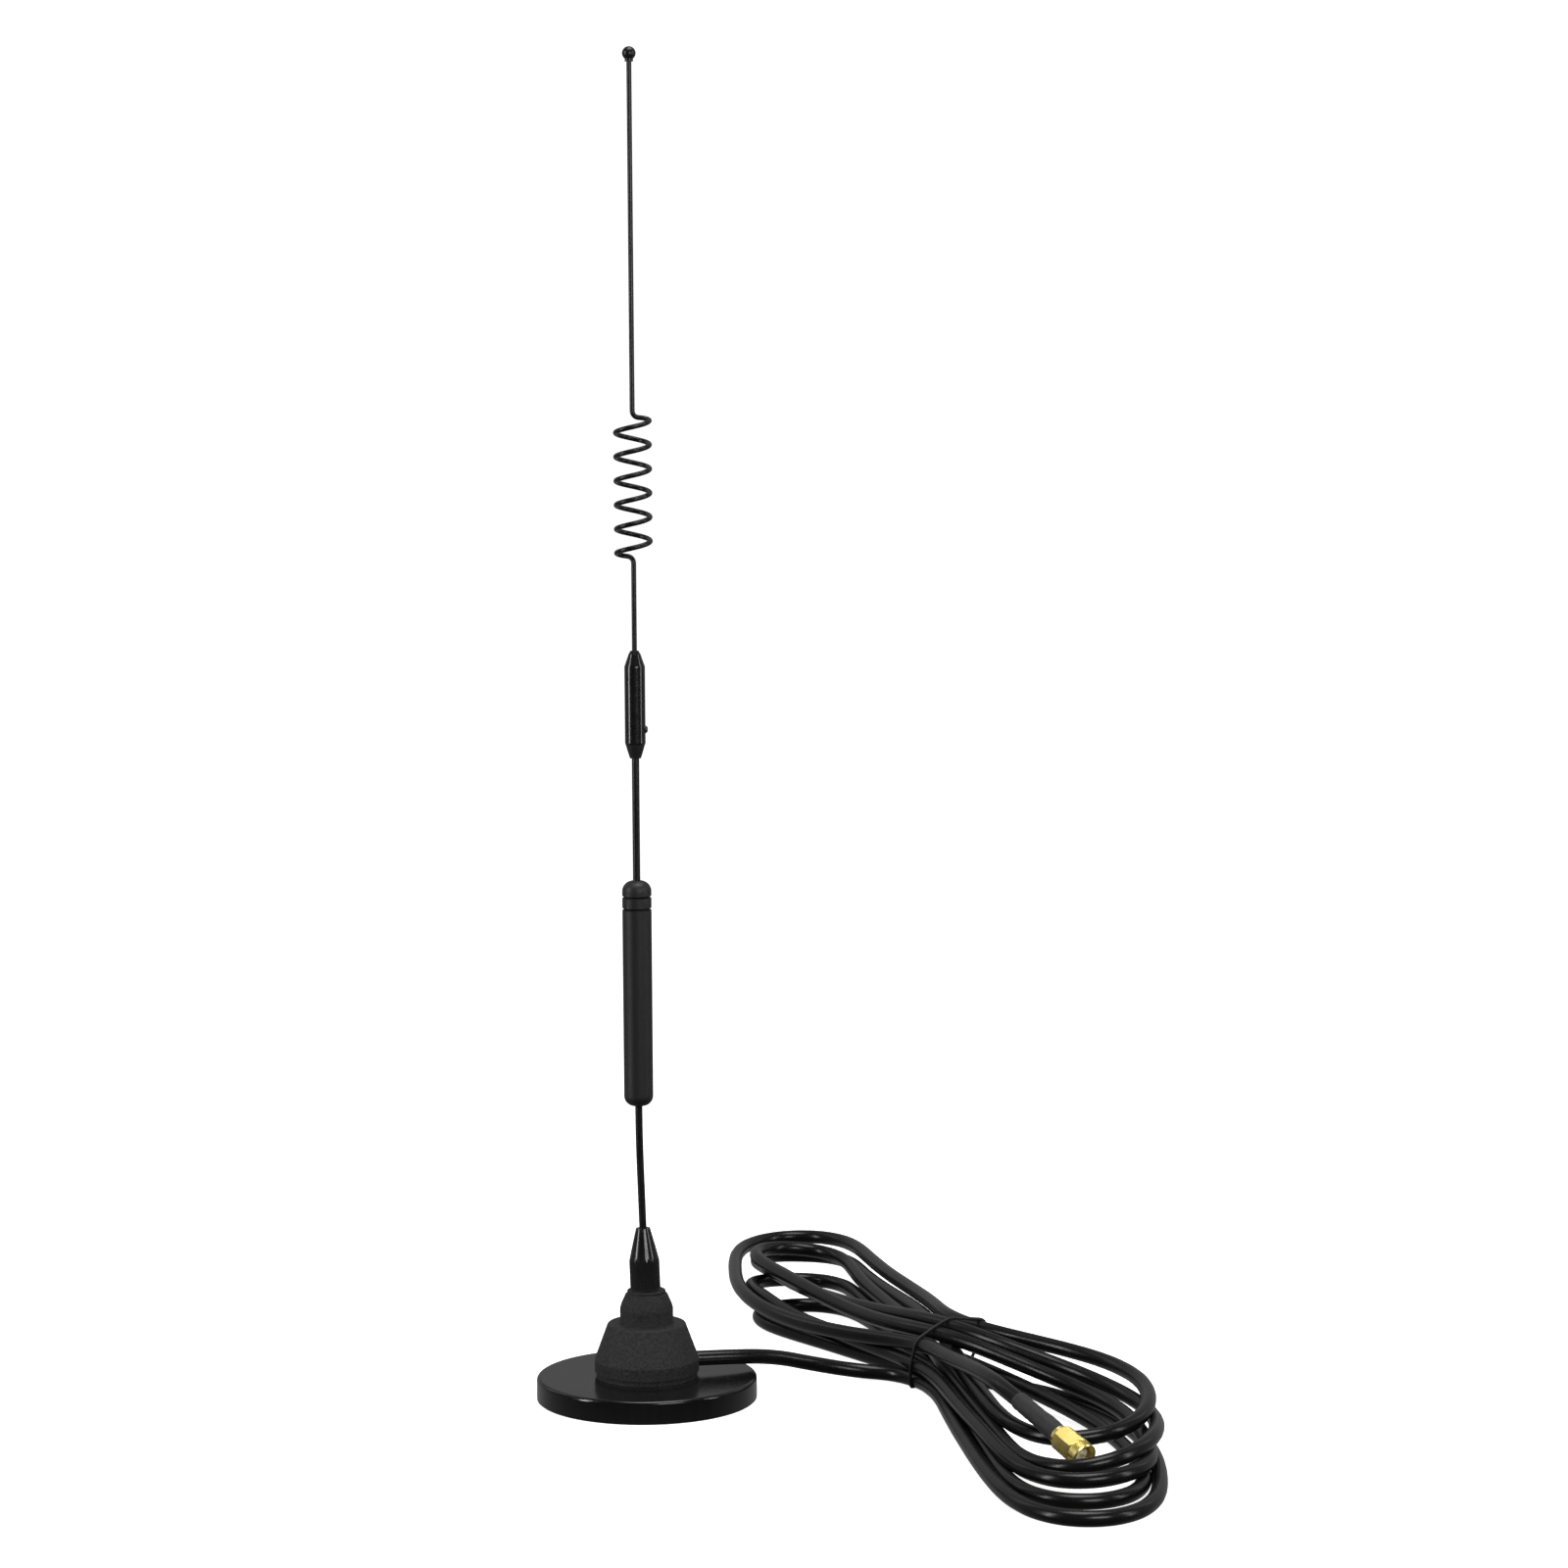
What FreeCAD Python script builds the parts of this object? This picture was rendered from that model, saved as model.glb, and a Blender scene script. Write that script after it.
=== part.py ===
import FreeCAD, Part
import os, math
from FreeCAD import Vector, Rotation, Placement
import Sketcher

# Magnetic-base omnidirectional whip antenna with its coaxial lead.
# Millimetres, +Z up, origin at the centre of the underside of the magnetic base.
# The mast stands on the Z axis, the lead leaves the cone housing towards +X.

os.makedirs("parts", exist_ok=True)
doc = FreeCAD.newDocument("omni_antenna")

# ------------------------------------------------------------------ dimensions
sheet = doc.addObject("Spreadsheet::Sheet", "Dims")
CELLS = [
    # magnetic base
    ("base_radius", 36.0), ("base_height", 7.6), ("base_edge", 1.1), ("base_wall", 1.8),
    ("plate_under", 5.8), ("pad_radius", 35.5), ("pad_thick", 0.6),
    ("magnet_outer", 32.6), ("magnet_inner", 17.0), ("cup_foot", 0.4),
    # cone housing
    ("cone_foot_radius", 16.5), ("cone_band_low", 9.0), ("cone_band_radius", 17.05),
    ("cone_band_high", 13.2), ("cone_top_radius", 12.7), ("cone_top", 25.0),
    ("cone_inner_low", 14.8), ("cone_inner_mid", 13.0), ("cone_inner_top", 10.3),
    ("cone_ceiling", 22.6), ("cone_stud_hole", 2.85),
    ("boss_circle", 12.3), ("boss_radius", 2.7), ("boss_top", 15.0), ("boss_pilot", 1.25),
    # insulating boot
    ("boot_radius", 8.7), ("boot_shoulder", 29.9), ("boot_mid_radius", 8.3), ("boot_mid", 31.4),
    ("boot_waist_radius", 6.9), ("boot_waist", 34.6), ("boot_neck_radius", 6.3), ("boot_top", 36.0),
    ("boot_seat", 33.2), ("boot_seat_radius", 3.95), ("boot_bore", 2.85),
    # stud and its fixings
    ("stud_radius", 2.5), ("stud_low", 16.4), ("stud_high", 42.6), ("stud_collar", 3.6),
    ("stud_collar_low", 33.4), ("stud_collar_top", 35.3), ("stud_nut_flats", 8.0), ("stud_nut_low", 17.8), ("lug_low", 21.0),
    ("lug_thick", 0.6), ("washer_thick", 1.0), ("washer_radius", 5.0), ("lug_radius", 4.4),
    # seal
    ("seal_inner", 4.0), ("seal_outer", 4.75), ("seal_low", 36.2), ("seal_high", 36.47),
    # lean of the mast: the stud and ferrule lean over, the rod above bends back upright
    ("lean_height", 27.5), ("lean_angle", 1.96), ("upper_height", 97.0), ("upper_shift", 2.05),
    ("upper_lean", 0.1375),
    # ferrule
    ("ferrule_low", 36.5), ("ferrule_radius", 4.93), ("knurl_high", 45.0), ("cone_r_one", 4.88),
    ("cone_z_one", 46.0), ("cone_r_two", 3.72), ("cone_z_two", 50.9), ("cone_r_three", 2.9),
    ("cone_z_three", 54.1), ("ferrule_tip_radius", 2.33), ("ferrule_high", 56.4),
    ("ferrule_bore", 2.55), ("ferrule_bore_top", 43.6), ("knurl_count", 30), ("knurl_groove", 0.42),
    ("knurl_circle", 5.08), ("ferrule_socket_low", 46.4),
    # rods
    ("rod_radius", 1.2), ("rod_low_end", 46.5), ("rod_low_top", 114.0), ("rod_mid_bottom", 152.0),
    ("rod_mid_top", 217.4), ("rod_fit", 1.205),
    # loading coil cover
    ("sleeve_low", 96.8), ("sleeve_high", 170.5), ("sleeve_radius", 4.75), ("sleeve_top_round", 3.5),
    ("sleeve_bottom_round", 3.3), ("sleeve_cavity", 3.7), ("sleeve_cavity_low", 100.4),
    ("sleeve_cavity_high", 166.6), ("notch_one", 165.2), ("notch_two", 161.3), ("notch_half", 0.5),
    ("notch_depth", 0.6),
    ("former_radius", 2.2), ("former_low", 106.0), ("former_high", 160.0),
    ("cap_radius", 3.4), ("cap_low", 101.2), ("cap_length", 7.4), ("cap_wall", 1.2),
    ("coil_radius", 2.55), ("coil_wire", 0.3), ("coil_pitch", 4.1),
    # tuning tube
    ("tube_low", 214.5), ("tube_foot_radius", 3.15), ("tube_foot", 215.2), ("tube_radius", 3.33),
    ("tube_shoulder", 239.8), ("tube_neck_radius", 1.95), ("tube_neck", 243.8),
    ("tube_tip_radius", 1.3), ("tube_high", 244.9), ("tube_bore", 0.87), ("tube_bore_floor", 218.0),
    ("tube_socket_top", 217.5), ("screw_height", 219.5), ("screw_hole", 1.30),
    ("screw_radius", 1.25), ("screw_tip", 0.86), ("screw_dome", 4.05), ("screw_body_end", 3.45),
    ("bush_low", 210.2), ("bush_low_radius", 1.8), ("bush_mid", 212.6), ("bush_mid_radius", 2.55),
    ("bush_top_radius", 3.08),
    # whip
    ("whip_radius", 0.81), ("whip_low", 218.1), ("whip_high", 432.6), ("helix_low", 276.2),
    ("helix_high", 318.5), ("helix_turns", 5.5), ("helix_radius", 5.42), ("helix_lead_in", 2.6),
    ("ball_radius", 2.19), ("ball_height", 434.5), ("ball_neck_radius", 1.35), ("ball_neck_low", 431.9),
    # coaxial lead
    ("cable_radius", 2.475), ("exit_height", 12.2), ("exit_turn", 12.0), ("grommet_outer", 3.5),
    ("grommet_bore", 2.5),
    # coil of cable
    ("far_height", 12.5), ("near_height", 12.5), ("bundle_radius", 9.8), ("bundle_half", 13.0),
    ("tie_x", 98.3), ("tie_y", 16.8), ("tie_z", 10.9),
    ("bundle_x", 0.55), ("bundle_y", -0.835), ("tie_wire", 0.55),
    # connector, measured from the rear of its heat-shrink sleeve to the mouth of the nut
    ("plug_x", 116.7), ("plug_y", -81.0), ("plug_z", 19.55),
    ("aim_x", 0.5224), ("aim_y", -0.7977), ("aim_z", -0.2963),
    ("mouth", 35.6), ("shrink_rear_radius", 2.86), ("shrink_step", 13.4), ("shrink_front_radius", 3.08),
    ("shrink_end", 22.0), ("crimp_low", 14.4), ("crimp_radius", 2.76), ("crimp_bore", 2.02),
    ("spigot_radius", 2.0), ("spigot_low", 14.6), ("collar_low", 22.1), ("collar_high", 23.9),
    ("collar_radius", 3.3), ("shoulder_radius", 2.62), ("shoulder_high", 29.1), ("shell_radius", 2.3),
    ("shell_high", 33.7), ("shell_bore", 2.05), ("shell_bore_low", 27.0), ("pin_radius", 0.465),
    ("pin_low", 25.0), ("pin_high", 35.0), ("ring_low", 27.9), ("ring_high", 28.4),
    ("ring_inner", 2.35), ("ring_outer", 3.0), ("ring_groove", 2.32), ("nut_groove", 3.05),
    ("gasket_low", 29.15), ("gasket_high", 29.7), ("gasket_outer", 2.9), ("gasket_inner", 2.33),
    ("nut_low", 24.0), ("nut_flats", 8.0), ("nut_hex_end", 31.8), ("nut_collar_radius", 4.1),
    ("nut_bore", 2.68), ("nut_bore_end", 29.05), ("nut_thread_minor", 2.95), ("nut_thread_major", 3.2),
    ("nut_thread_pitch", 0.7056), ("nut_mouth_radius", 3.45),
]
for i, (alias, value) in enumerate(CELLS):
    row = i + 1
    sheet.set("A%d" % row, alias)
    sheet.set("B%d" % row, "%g" % value)
    sheet.setAlias("B%d" % row, alias)
doc.recompute()


def S(alias):
    return float(getattr(sheet, alias))


def E(text):
    """Expand 'a+b' style alias expressions to sheet references."""
    import re
    return re.sub(r"([a-z_]{3,})", r"Dims.\1", text)


def V(text):
    """Value of an alias expression, worked out term by term."""
    import re
    total = 0.0
    for sign, term in re.findall(r"([+-]?)([a-z_]+|[0-9.]+)", text):
        value = S(term) if term[0].isalpha() else float(term)
        total += -value if sign == "-" else value
    return total


NODES = []


def keep(obj, label):
    obj.Label = label
    NODES.append((obj, label))
    return obj


def plane(body, role):
    for feature in body.Origin.OriginFeatures:
        if feature.Role == role:
            return feature
    raise RuntimeError(role)


def new_sketch(body, name, role="XZ_Plane"):
    sk = body.newObject("Sketcher::SketchObject", name)
    sk.AttachmentSupport = [(plane(body, role), "")]
    sk.MapMode = "FlatFace"
    return sk


def polygon(sk, points):
    """Closed profile whose corners are held to the sheet: (across, up) expressions."""
    n = len(points)
    vals = [(V(a), V(b)) for a, b in points]
    for i in range(n):
        a, b = vals[i], vals[(i + 1) % n]
        sk.addGeometry(Part.LineSegment(Vector(a[0], a[1], 0), Vector(b[0], b[1], 0)), False)
    for i in range(n):
        sk.addConstraint(Sketcher.Constraint("Coincident", i, 2, (i + 1) % n, 1))
    for i in range(n):
        (a, b), (x, y) = points[i], vals[i]
        if abs(x) < 1e-9:
            sk.addConstraint(Sketcher.Constraint("PointOnObject", i, 1, -2))
        else:
            k = sk.addConstraint(Sketcher.Constraint("DistanceX", -1, 1, i, 1, x))
            sk.setExpression("Constraints[%d]" % k, E(a))
        if abs(y) < 1e-9:
            sk.addConstraint(Sketcher.Constraint("PointOnObject", i, 1, -1))
        else:
            k = sk.addConstraint(Sketcher.Constraint("DistanceY", -1, 1, i, 1, y))
            sk.setExpression("Constraints[%d]" % k, E(b))


def turned(label, points):
    """Body of revolution about Z."""
    body = doc.addObject("PartDesign::Body", label)
    sk = new_sketch(body, label + "_profile")
    polygon(sk, points)
    rev = body.newObject("PartDesign::Revolution", label + "_turn")
    rev.Profile = sk
    rev.ReferenceAxis = (sk, ["V_Axis"])
    rev.Angle = 360
    sk.Visibility = False
    doc.recompute()
    keep(body, label)
    return body


def circle_sketch(body, name, spots, radius, role="XY_Plane", offset=None):
    """Circles at (x, y) numbers with one radius expression."""
    sk = new_sketch(body, name, role)
    if offset is not None:
        sk.AttachmentOffset = Placement(Vector(0, 0, V(offset)), Rotation())
        sk.setExpression("AttachmentOffset.Base.z", E(offset))
    for i, (x, y) in enumerate(spots):
        sk.addGeometry(Part.Circle(Vector(x, y, 0), Vector(0, 0, 1), V(radius)), False)
        if i == 0:
            k = sk.addConstraint(Sketcher.Constraint("Radius", 0, V(radius)))
            sk.setExpression("Constraints[%d]" % k, E(radius))
        else:
            sk.addConstraint(Sketcher.Constraint("Equal", 0, i))
        if abs(x) < 1e-9 and abs(y) < 1e-9:
            sk.addConstraint(Sketcher.Constraint("Coincident", i, 3, -1, 1))
        else:
            sk.addConstraint(Sketcher.Constraint("DistanceX", -1, 1, i, 3, x))
            sk.addConstraint(Sketcher.Constraint("DistanceY", -1, 1, i, 3, y))
    return sk


def pad(body, sk, name, length, reversed_=False):
    f = body.newObject("PartDesign::Pad", name)
    f.Profile = sk
    f.Length = V(length)
    f.setExpression("Length", E(length))
    f.Reversed = reversed_
    doc.recompute()
    return f


def pocket(body, sk, name, length=None, reversed_=False, both=False):
    before = body.Shape.Volume
    f = body.newObject("PartDesign::Pocket", name)
    f.Profile = sk
    if length is None:
        f.Type = 1
    else:
        f.Length = V(length)
        f.setExpression("Length", E(length))
    f.Midplane = both
    f.Reversed = reversed_
    doc.recompute()
    if not body.Shape.Volume < before - 1e-6:
        raise RuntimeError("pocket %s cut nothing" % name)
    return f


def edge_names(shape, test):
    return ["Edge%d" % (i + 1) for i, e in enumerate(shape.Edges) if test(e)]


def round_edges(body, name, radius, test, kind="Fillet"):
    base = body.Tip
    names = edge_names(base.Shape, test)
    if not names:
        raise RuntimeError("no edge for " + name)
    f = body.newObject("PartDesign::" + kind, name)
    f.Base = (base, names)
    if kind == "Fillet":
        f.Radius = V(radius)
        f.setExpression("Radius", E(radius))
    else:
        f.Size = V(radius)
        f.setExpression("Size", E(radius))
    doc.recompute()
    return f


def ring_at(radius, height, tol=0.02):
    def test(e):
        c = e.Curve
        return isinstance(c, Part.Circle) and abs(c.Radius - radius) < tol and \
            abs(c.Center.z - height) < tol
    return test


def groove(body, name, points):
    """Cut a turned profile out of a body of revolution."""
    before = body.Shape.Volume
    sk = new_sketch(body, name + "_profile")
    polygon(sk, points)
    f = body.newObject("PartDesign::Groove", name)
    f.Profile = sk
    f.ReferenceAxis = (sk, ["V_Axis"])
    f.Angle = 360
    doc.recompute()
    if not body.Shape.Volume < before - 1e-6:
        raise RuntimeError("groove %s cut nothing" % name)
    return f


def polar(body, features, name, count):
    f = body.newObject("PartDesign::PolarPattern", name)
    f.Originals = features
    f.Axis = (plane(body, "Z_Axis"), [""])
    f.Angle = 360
    f.Occurrences = int(count)
    body.Tip = f
    doc.recompute()
    return f


# ------------------------------------------------------------------ magnetic base
cup = turned("base_cup", [
    ("0", "plate_under"), ("base_radius-base_wall", "plate_under"),
    ("base_radius-base_wall", "cup_foot"), ("base_radius", "cup_foot"),
    ("base_radius", "base_height"), ("0", "base_height")])
round_edges(cup, "cup_top_round", "base_edge", ring_at(S("base_radius"), S("base_height")))
tri = [(S("boss_circle") * math.cos(math.radians(a)), S("boss_circle") * math.sin(math.radians(a)))
       for a in (90, 210, 330)]
pocket(cup, circle_sketch(cup, "cup_holes", tri, "boss_pilot+0.35"), "cup_screw_holes", None, True)
pocket(cup, circle_sketch(cup, "cup_ground_hole", [(0.0, -7.5)], "boss_pilot+0.3"), "cup_ground", None, True)

turned("base_pad", [("0", "0"), ("pad_radius", "0"), ("pad_radius", "cup_foot"),
                    ("base_radius-base_wall-0.1", "cup_foot"), ("base_radius-base_wall-0.1", "pad_thick"),
                    ("0", "pad_thick")])
turned("ring_magnet", [("magnet_inner", "pad_thick"), ("magnet_outer", "pad_thick"),
                       ("magnet_outer", "plate_under"), ("magnet_inner", "plate_under")])

# ------------------------------------------------------------------ cone housing
cone = turned("cone_housing", [
    ("cone_inner_low", "base_height"), ("cone_foot_radius", "base_height"),
    ("cone_foot_radius", "cone_band_low"), ("cone_band_radius", "cone_band_low"),
    ("cone_band_radius", "cone_band_high"), ("cone_top_radius", "cone_top"),
    ("cone_stud_hole", "cone_top"), ("cone_stud_hole", "cone_ceiling"),
    ("cone_inner_top", "cone_ceiling"), ("cone_inner_mid", "boss_top"),
    ("cone_inner_low", "cone_band_low")])
sk = circle_sketch(cone, "boss_circles", tri, "boss_radius", offset="base_height")
bosses = pad(cone, sk, "screw_bosses", "boss_top-base_height")
sk = circle_sketch(cone, "boss_pilots", tri, "boss_pilot", offset="base_height")
pocket(cone, sk, "boss_pilot_holes", "boss_top-base_height-1", True)
round_edges(cone, "cone_top_round", "0.7", ring_at(S("cone_top_radius"), S("cone_top")))
round_edges(cone, "cone_band_round", "0.35", ring_at(S("cone_band_radius"), S("cone_band_low")))
# cable hole through the wall, along the lead's own direction
az = math.radians(S("exit_turn"))
exit_dir = Vector(math.cos(az), math.sin(az), 0)
cone_tool = doc.addObject("Part::Cylinder", "exit_drill")
cone_tool.setExpression("Radius", "Dims.grommet_outer")
cone_tool.Height = 12
cone_tool.Placement = Placement(exit_dir * 10 + Vector(0, 0, S("exit_height")),
                                Rotation(Vector(0, 0, 1), exit_dir))
doc.recompute()
cone_cut = doc.addObject("Part::Cut", "cone_housing_shell")
cone_cut.Base = cone
cone_cut.Tool = cone_tool
doc.recompute()
NODES = [n for n in NODES if n[1] != "cone_housing"]
cone.Label = "cone_housing_blank"
keep(cone_cut, "cone_housing")

# grommet: a flush rubber ring in that hole
skin = doc.addObject("PartDesign::Body", "grommet_skin")
sk = new_sketch(skin, "grommet_skin_profile")
polygon(sk, [("cone_inner_mid-0.6", "base_height"), ("cone_foot_radius", "base_height"),
             ("cone_foot_radius", "cone_band_low"), ("cone_band_radius", "cone_band_low"),
             ("cone_band_radius", "cone_band_high"), ("cone_top_radius+1.2", "cone_top-3.3"),
             ("cone_inner_mid-0.6", "cone_top-3.3")])
rev = skin.newObject("PartDesign::Revolution", "grommet_skin_turn")
rev.Profile = sk
rev.ReferenceAxis = (sk, ["V_Axis"])
rev.Angle = 360
doc.recompute()
g_out = doc.addObject("Part::Cylinder", "grommet_body")
g_out.setExpression("Radius", "Dims.grommet_outer")
g_out.Height = 12
g_in = doc.addObject("Part::Cylinder", "grommet_hole")
g_in.setExpression("Radius", "Dims.grommet_bore")
g_in.Height = 14
g_out.Placement = Placement(exit_dir * 10 + Vector(0, 0, S("exit_height")), Rotation(Vector(0, 0, 1), exit_dir))
g_in.Placement = Placement(exit_dir * 9 + Vector(0, 0, S("exit_height")), Rotation(Vector(0, 0, 1), exit_dir))
g_ring = doc.addObject("Part::Cut", "grommet_ring")
g_ring.Base, g_ring.Tool = g_out, g_in
g_fin = doc.addObject("Part::Common", "cable_grommet")
g_fin.Base, g_fin.Tool = g_ring, skin
doc.recompute()
keep(g_fin, "cable_grommet")

# housing screws, driven up through the cup plate into the bosses
group = []
for i, (x, y) in enumerate(tri):
    head = doc.addObject("Part::Cylinder", "housing_screw_head_%d" % i)
    head.Radius = 2.75
    head.setExpression("Height", "Dims.boss_pilot+0.55")
    head.Placement = Placement(Vector(x, y, S("plate_under") - S("boss_pilot") - 0.55), Rotation())
    shank = doc.addObject("Part::Cylinder", "housing_screw_shank_%d" % i)
    shank.setExpression("Radius", "Dims.boss_pilot-0.01")
    shank.Height = 7.4
    shank.Placement = Placement(Vector(x, y, S("plate_under") - 0.6), Rotation())
    slot = doc.addObject("Part::Box", "housing_screw_slot_%d" % i)
    slot.Length, slot.Width, slot.Height = 4.2, 0.8, 0.9
    slot.Placement = Placement(Vector(x - 2.1, y - 0.4, S("plate_under") - S("boss_pilot") - 0.65), Rotation())
    fuse = doc.addObject("Part::Fuse", "housing_screw_blank_%d" % i)
    fuse.Base, fuse.Tool = head, shank
    cut = doc.addObject("Part::Cut", "housing_screw_%d" % i)
    cut.Base, cut.Tool = fuse, slot
    group.append(cut)
doc.recompute()
screws = doc.addObject("Part::Compound", "housing_screws")
screws.Links = group
doc.recompute()
keep(screws, "housing_screws")

# ------------------------------------------------------------------ boot, stud and contacts
boot = turned("insulator_boot", [
    ("boot_bore", "cone_top"), ("boot_radius", "cone_top"), ("boot_radius", "boot_shoulder"),
    ("boot_mid_radius", "boot_mid"), ("boot_waist_radius", "boot_waist"),
    ("boot_neck_radius", "boot_waist+0.3"), ("boot_neck_radius", "boot_top"),
    ("boot_seat_radius", "boot_top"), ("boot_seat_radius", "boot_seat"),
    ("boot_bore", "boot_seat")])
round_edges(boot, "boot_neck_round", "0.4", ring_at(S("boot_neck_radius"), S("boot_top")))
stud = turned("contact_stud", [
    ("0", "stud_low"), ("stud_radius-0.4", "stud_low"), ("stud_radius", "stud_low+0.4"),
    ("stud_radius", "stud_collar_low"), ("stud_collar", "stud_collar_low"), ("stud_collar", "stud_collar_top"),
    ("stud_radius", "stud_collar_top"), ("stud_radius", "stud_high-0.5"),
    ("stud_radius-0.5", "stud_high"), ("0", "stud_high")])


def hexagon(label, flats, low, height, bore):
    body = doc.addObject("PartDesign::Body", label)
    sk = new_sketch(body, label + "_hex", "XY_Plane")
    sk.AttachmentOffset = Placement(Vector(0, 0, V(low)), Rotation())
    sk.setExpression("AttachmentOffset.Base.z", E(low))
    rad = V(flats) / math.sqrt(3.0)
    pts = [Vector(rad * math.cos(math.radians(60 * k)), rad * math.sin(math.radians(60 * k)), 0)
           for k in range(6)]
    for k in range(6):
        sk.addGeometry(Part.LineSegment(pts[k], pts[(k + 1) % 6]), False)
    for k in range(6):
        sk.addConstraint(Sketcher.Constraint("Coincident", k, 2, (k + 1) % 6, 1))
    sk.addGeometry(Part.Circle(Vector(0, 0, 0), Vector(0, 0, 1), rad), True)
    for k in range(6):
        sk.addConstraint(Sketcher.Constraint("PointOnObject", k, 1, 6))
    for k in range(5):
        sk.addConstraint(Sketcher.Constraint("Equal", k, k + 1))
    sk.addConstraint(Sketcher.Constraint("Coincident", 6, 3, -1, 1))
    sk.addConstraint(Sketcher.Constraint("PointOnObject", 0, 1, -1))
    c = sk.addConstraint(Sketcher.Constraint("Distance", 0, 1, 3, 1, 2 * rad))
    sk.setExpression("Constraints[%d]" % c, "2*%s/sqrt(3)" % E(flats))
    sk.addGeometry(Part.Circle(Vector(0, 0, 0), Vector(0, 0, 1), V(bore)), False)
    sk.addConstraint(Sketcher.Constraint("Coincident", 7, 3, -1, 1))
    c = sk.addConstraint(Sketcher.Constraint("Radius", 7, V(bore)))
    sk.setExpression("Constraints[%d]" % c, E(bore))
    pad(body, sk, label + "_pad", height)
    keep(body, label)
    return body


hexagon("stud_nut", "stud_nut_flats", "stud_nut_low", "lug_low-stud_nut_low", "stud_radius+0.01")
turned("stud_washer", [
    ("stud_radius+0.1", "lug_low+lug_thick"), ("washer_radius", "lug_low+lug_thick"),
    ("washer_radius", "cone_ceiling-0.2"), ("stud_radius+0.1", "cone_ceiling-0.2")])

# contact lug: a ring under the washer with a tail for the centre conductor
lug = doc.addObject("PartDesign::Body", "contact_lug")
sk = circle_sketch(lug, "contact_lug_ring", [(0.0, 0.0)], "lug_radius", offset="lug_low")
pad(lug, sk, "contact_lug_disc", "lug_thick")
sk = new_sketch(lug, "contact_lug_tail", "XY_Plane")
sk.AttachmentOffset = Placement(Vector(0, 0, S("lug_low")), Rotation())
sk.setExpression("AttachmentOffset.Base.z", "Dims.lug_low")
for a, b in (((2.0, -1.4), (8.6, -1.4)), ((8.6, -1.4), (8.6, 1.9)), ((8.6, 1.9), (2.0, 1.9)), ((2.0, 1.9), (2.0, -1.4))):
    sk.addGeometry(Part.LineSegment(Vector(a[0], a[1], 0), Vector(b[0], b[1], 0)), False)
for k in range(4):
    sk.addConstraint(Sketcher.Constraint("Coincident", k, 2, (k + 1) % 4, 1))
pad(lug, sk, "contact_lug_strip", "lug_thick")
sk = circle_sketch(lug, "contact_lug_bore", [(0.0, 0.0)], "stud_radius+0.1", offset="lug_low")
pocket(lug, sk, "contact_lug_hole", "lug_thick", True)
keep(lug, "contact_lug")

ground = doc.addObject("PartDesign::Body", "ground_lug")
sk = circle_sketch(ground, "ground_lug_ring", [(0.0, -7.5)], "boss_radius+0.6", offset="base_height")
pad(ground, sk, "ground_lug_disc", "lug_thick")
sk = circle_sketch(ground, "ground_lug_bore", [(0.0, -7.5)], "boss_pilot+0.35", offset="base_height")
pocket(ground, sk, "ground_lug_hole", "lug_thick", True)
keep(ground, "ground_lug")

gs_head = doc.addObject("Part::Cylinder", "ground_screw_head")
gs_head.Radius = 2.7
gs_head.Height = 1.7
gs_head.Placement = Placement(Vector(0, -7.5, S("base_height") + S("lug_thick")), Rotation())
gs_shank = doc.addObject("Part::Cylinder", "ground_screw_shank")
gs_shank.setExpression("Radius", "Dims.boss_pilot+0.25")
gs_shank.Height = 4.6
gs_shank.Placement = Placement(Vector(0, -7.5, S("base_height") + S("lug_thick") - 4.0), Rotation())
gs_slot = doc.addObject("Part::Box", "ground_screw_slot")
gs_slot.Length, gs_slot.Width, gs_slot.Height = 6.0, 0.8, 0.8
gs_slot.Placement = Placement(Vector(-3.0, -7.9, S("base_height") + S("lug_thick") + 1.0), Rotation())
gs = doc.addObject("Part::Fuse", "ground_screw_blank")
gs.Base, gs.Tool = gs_head, gs_shank
gscrew = doc.addObject("Part::Cut", "ground_screw")
gscrew.Base, gscrew.Tool = gs, gs_slot
doc.recompute()
keep(gscrew, "ground_screw")

# ------------------------------------------------------------------ screw-on mast
turned("mast_seal", [("seal_inner", "seal_low"), ("seal_outer", "seal_low"),
                     ("seal_outer", "seal_high"), ("seal_inner", "seal_high")])

ferrule = turned("mast_ferrule", [
    ("ferrule_bore", "ferrule_low"), ("ferrule_radius", "ferrule_low"),
    ("ferrule_radius", "knurl_high"), ("cone_r_one", "cone_z_one"), ("cone_r_two", "cone_z_two"),
    ("cone_r_three", "cone_z_three"), ("ferrule_tip_radius", "ferrule_high"),
    ("rod_fit", "ferrule_high"), ("rod_fit", "ferrule_socket_low"), ("0", "ferrule_socket_low"),
    ("0", "ferrule_bore_top"), ("ferrule_bore", "ferrule_bore_top")])
sk = circle_sketch(ferrule, "knurl_circle_sketch", [(S("knurl_circle"), 0.0)], "knurl_groove",
                   offset="ferrule_low")
cut = pocket(ferrule, sk, "knurl_flute", "cone_z_one-ferrule_low+1.2", True)
polar(ferrule, [cut], "knurl_flutes", S("knurl_count"))

turned("middle_rod", [("0", "rod_mid_bottom"), ("rod_radius", "rod_mid_bottom"),
                      ("rod_radius", "rod_mid_top"), ("0", "rod_mid_top")])

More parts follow.
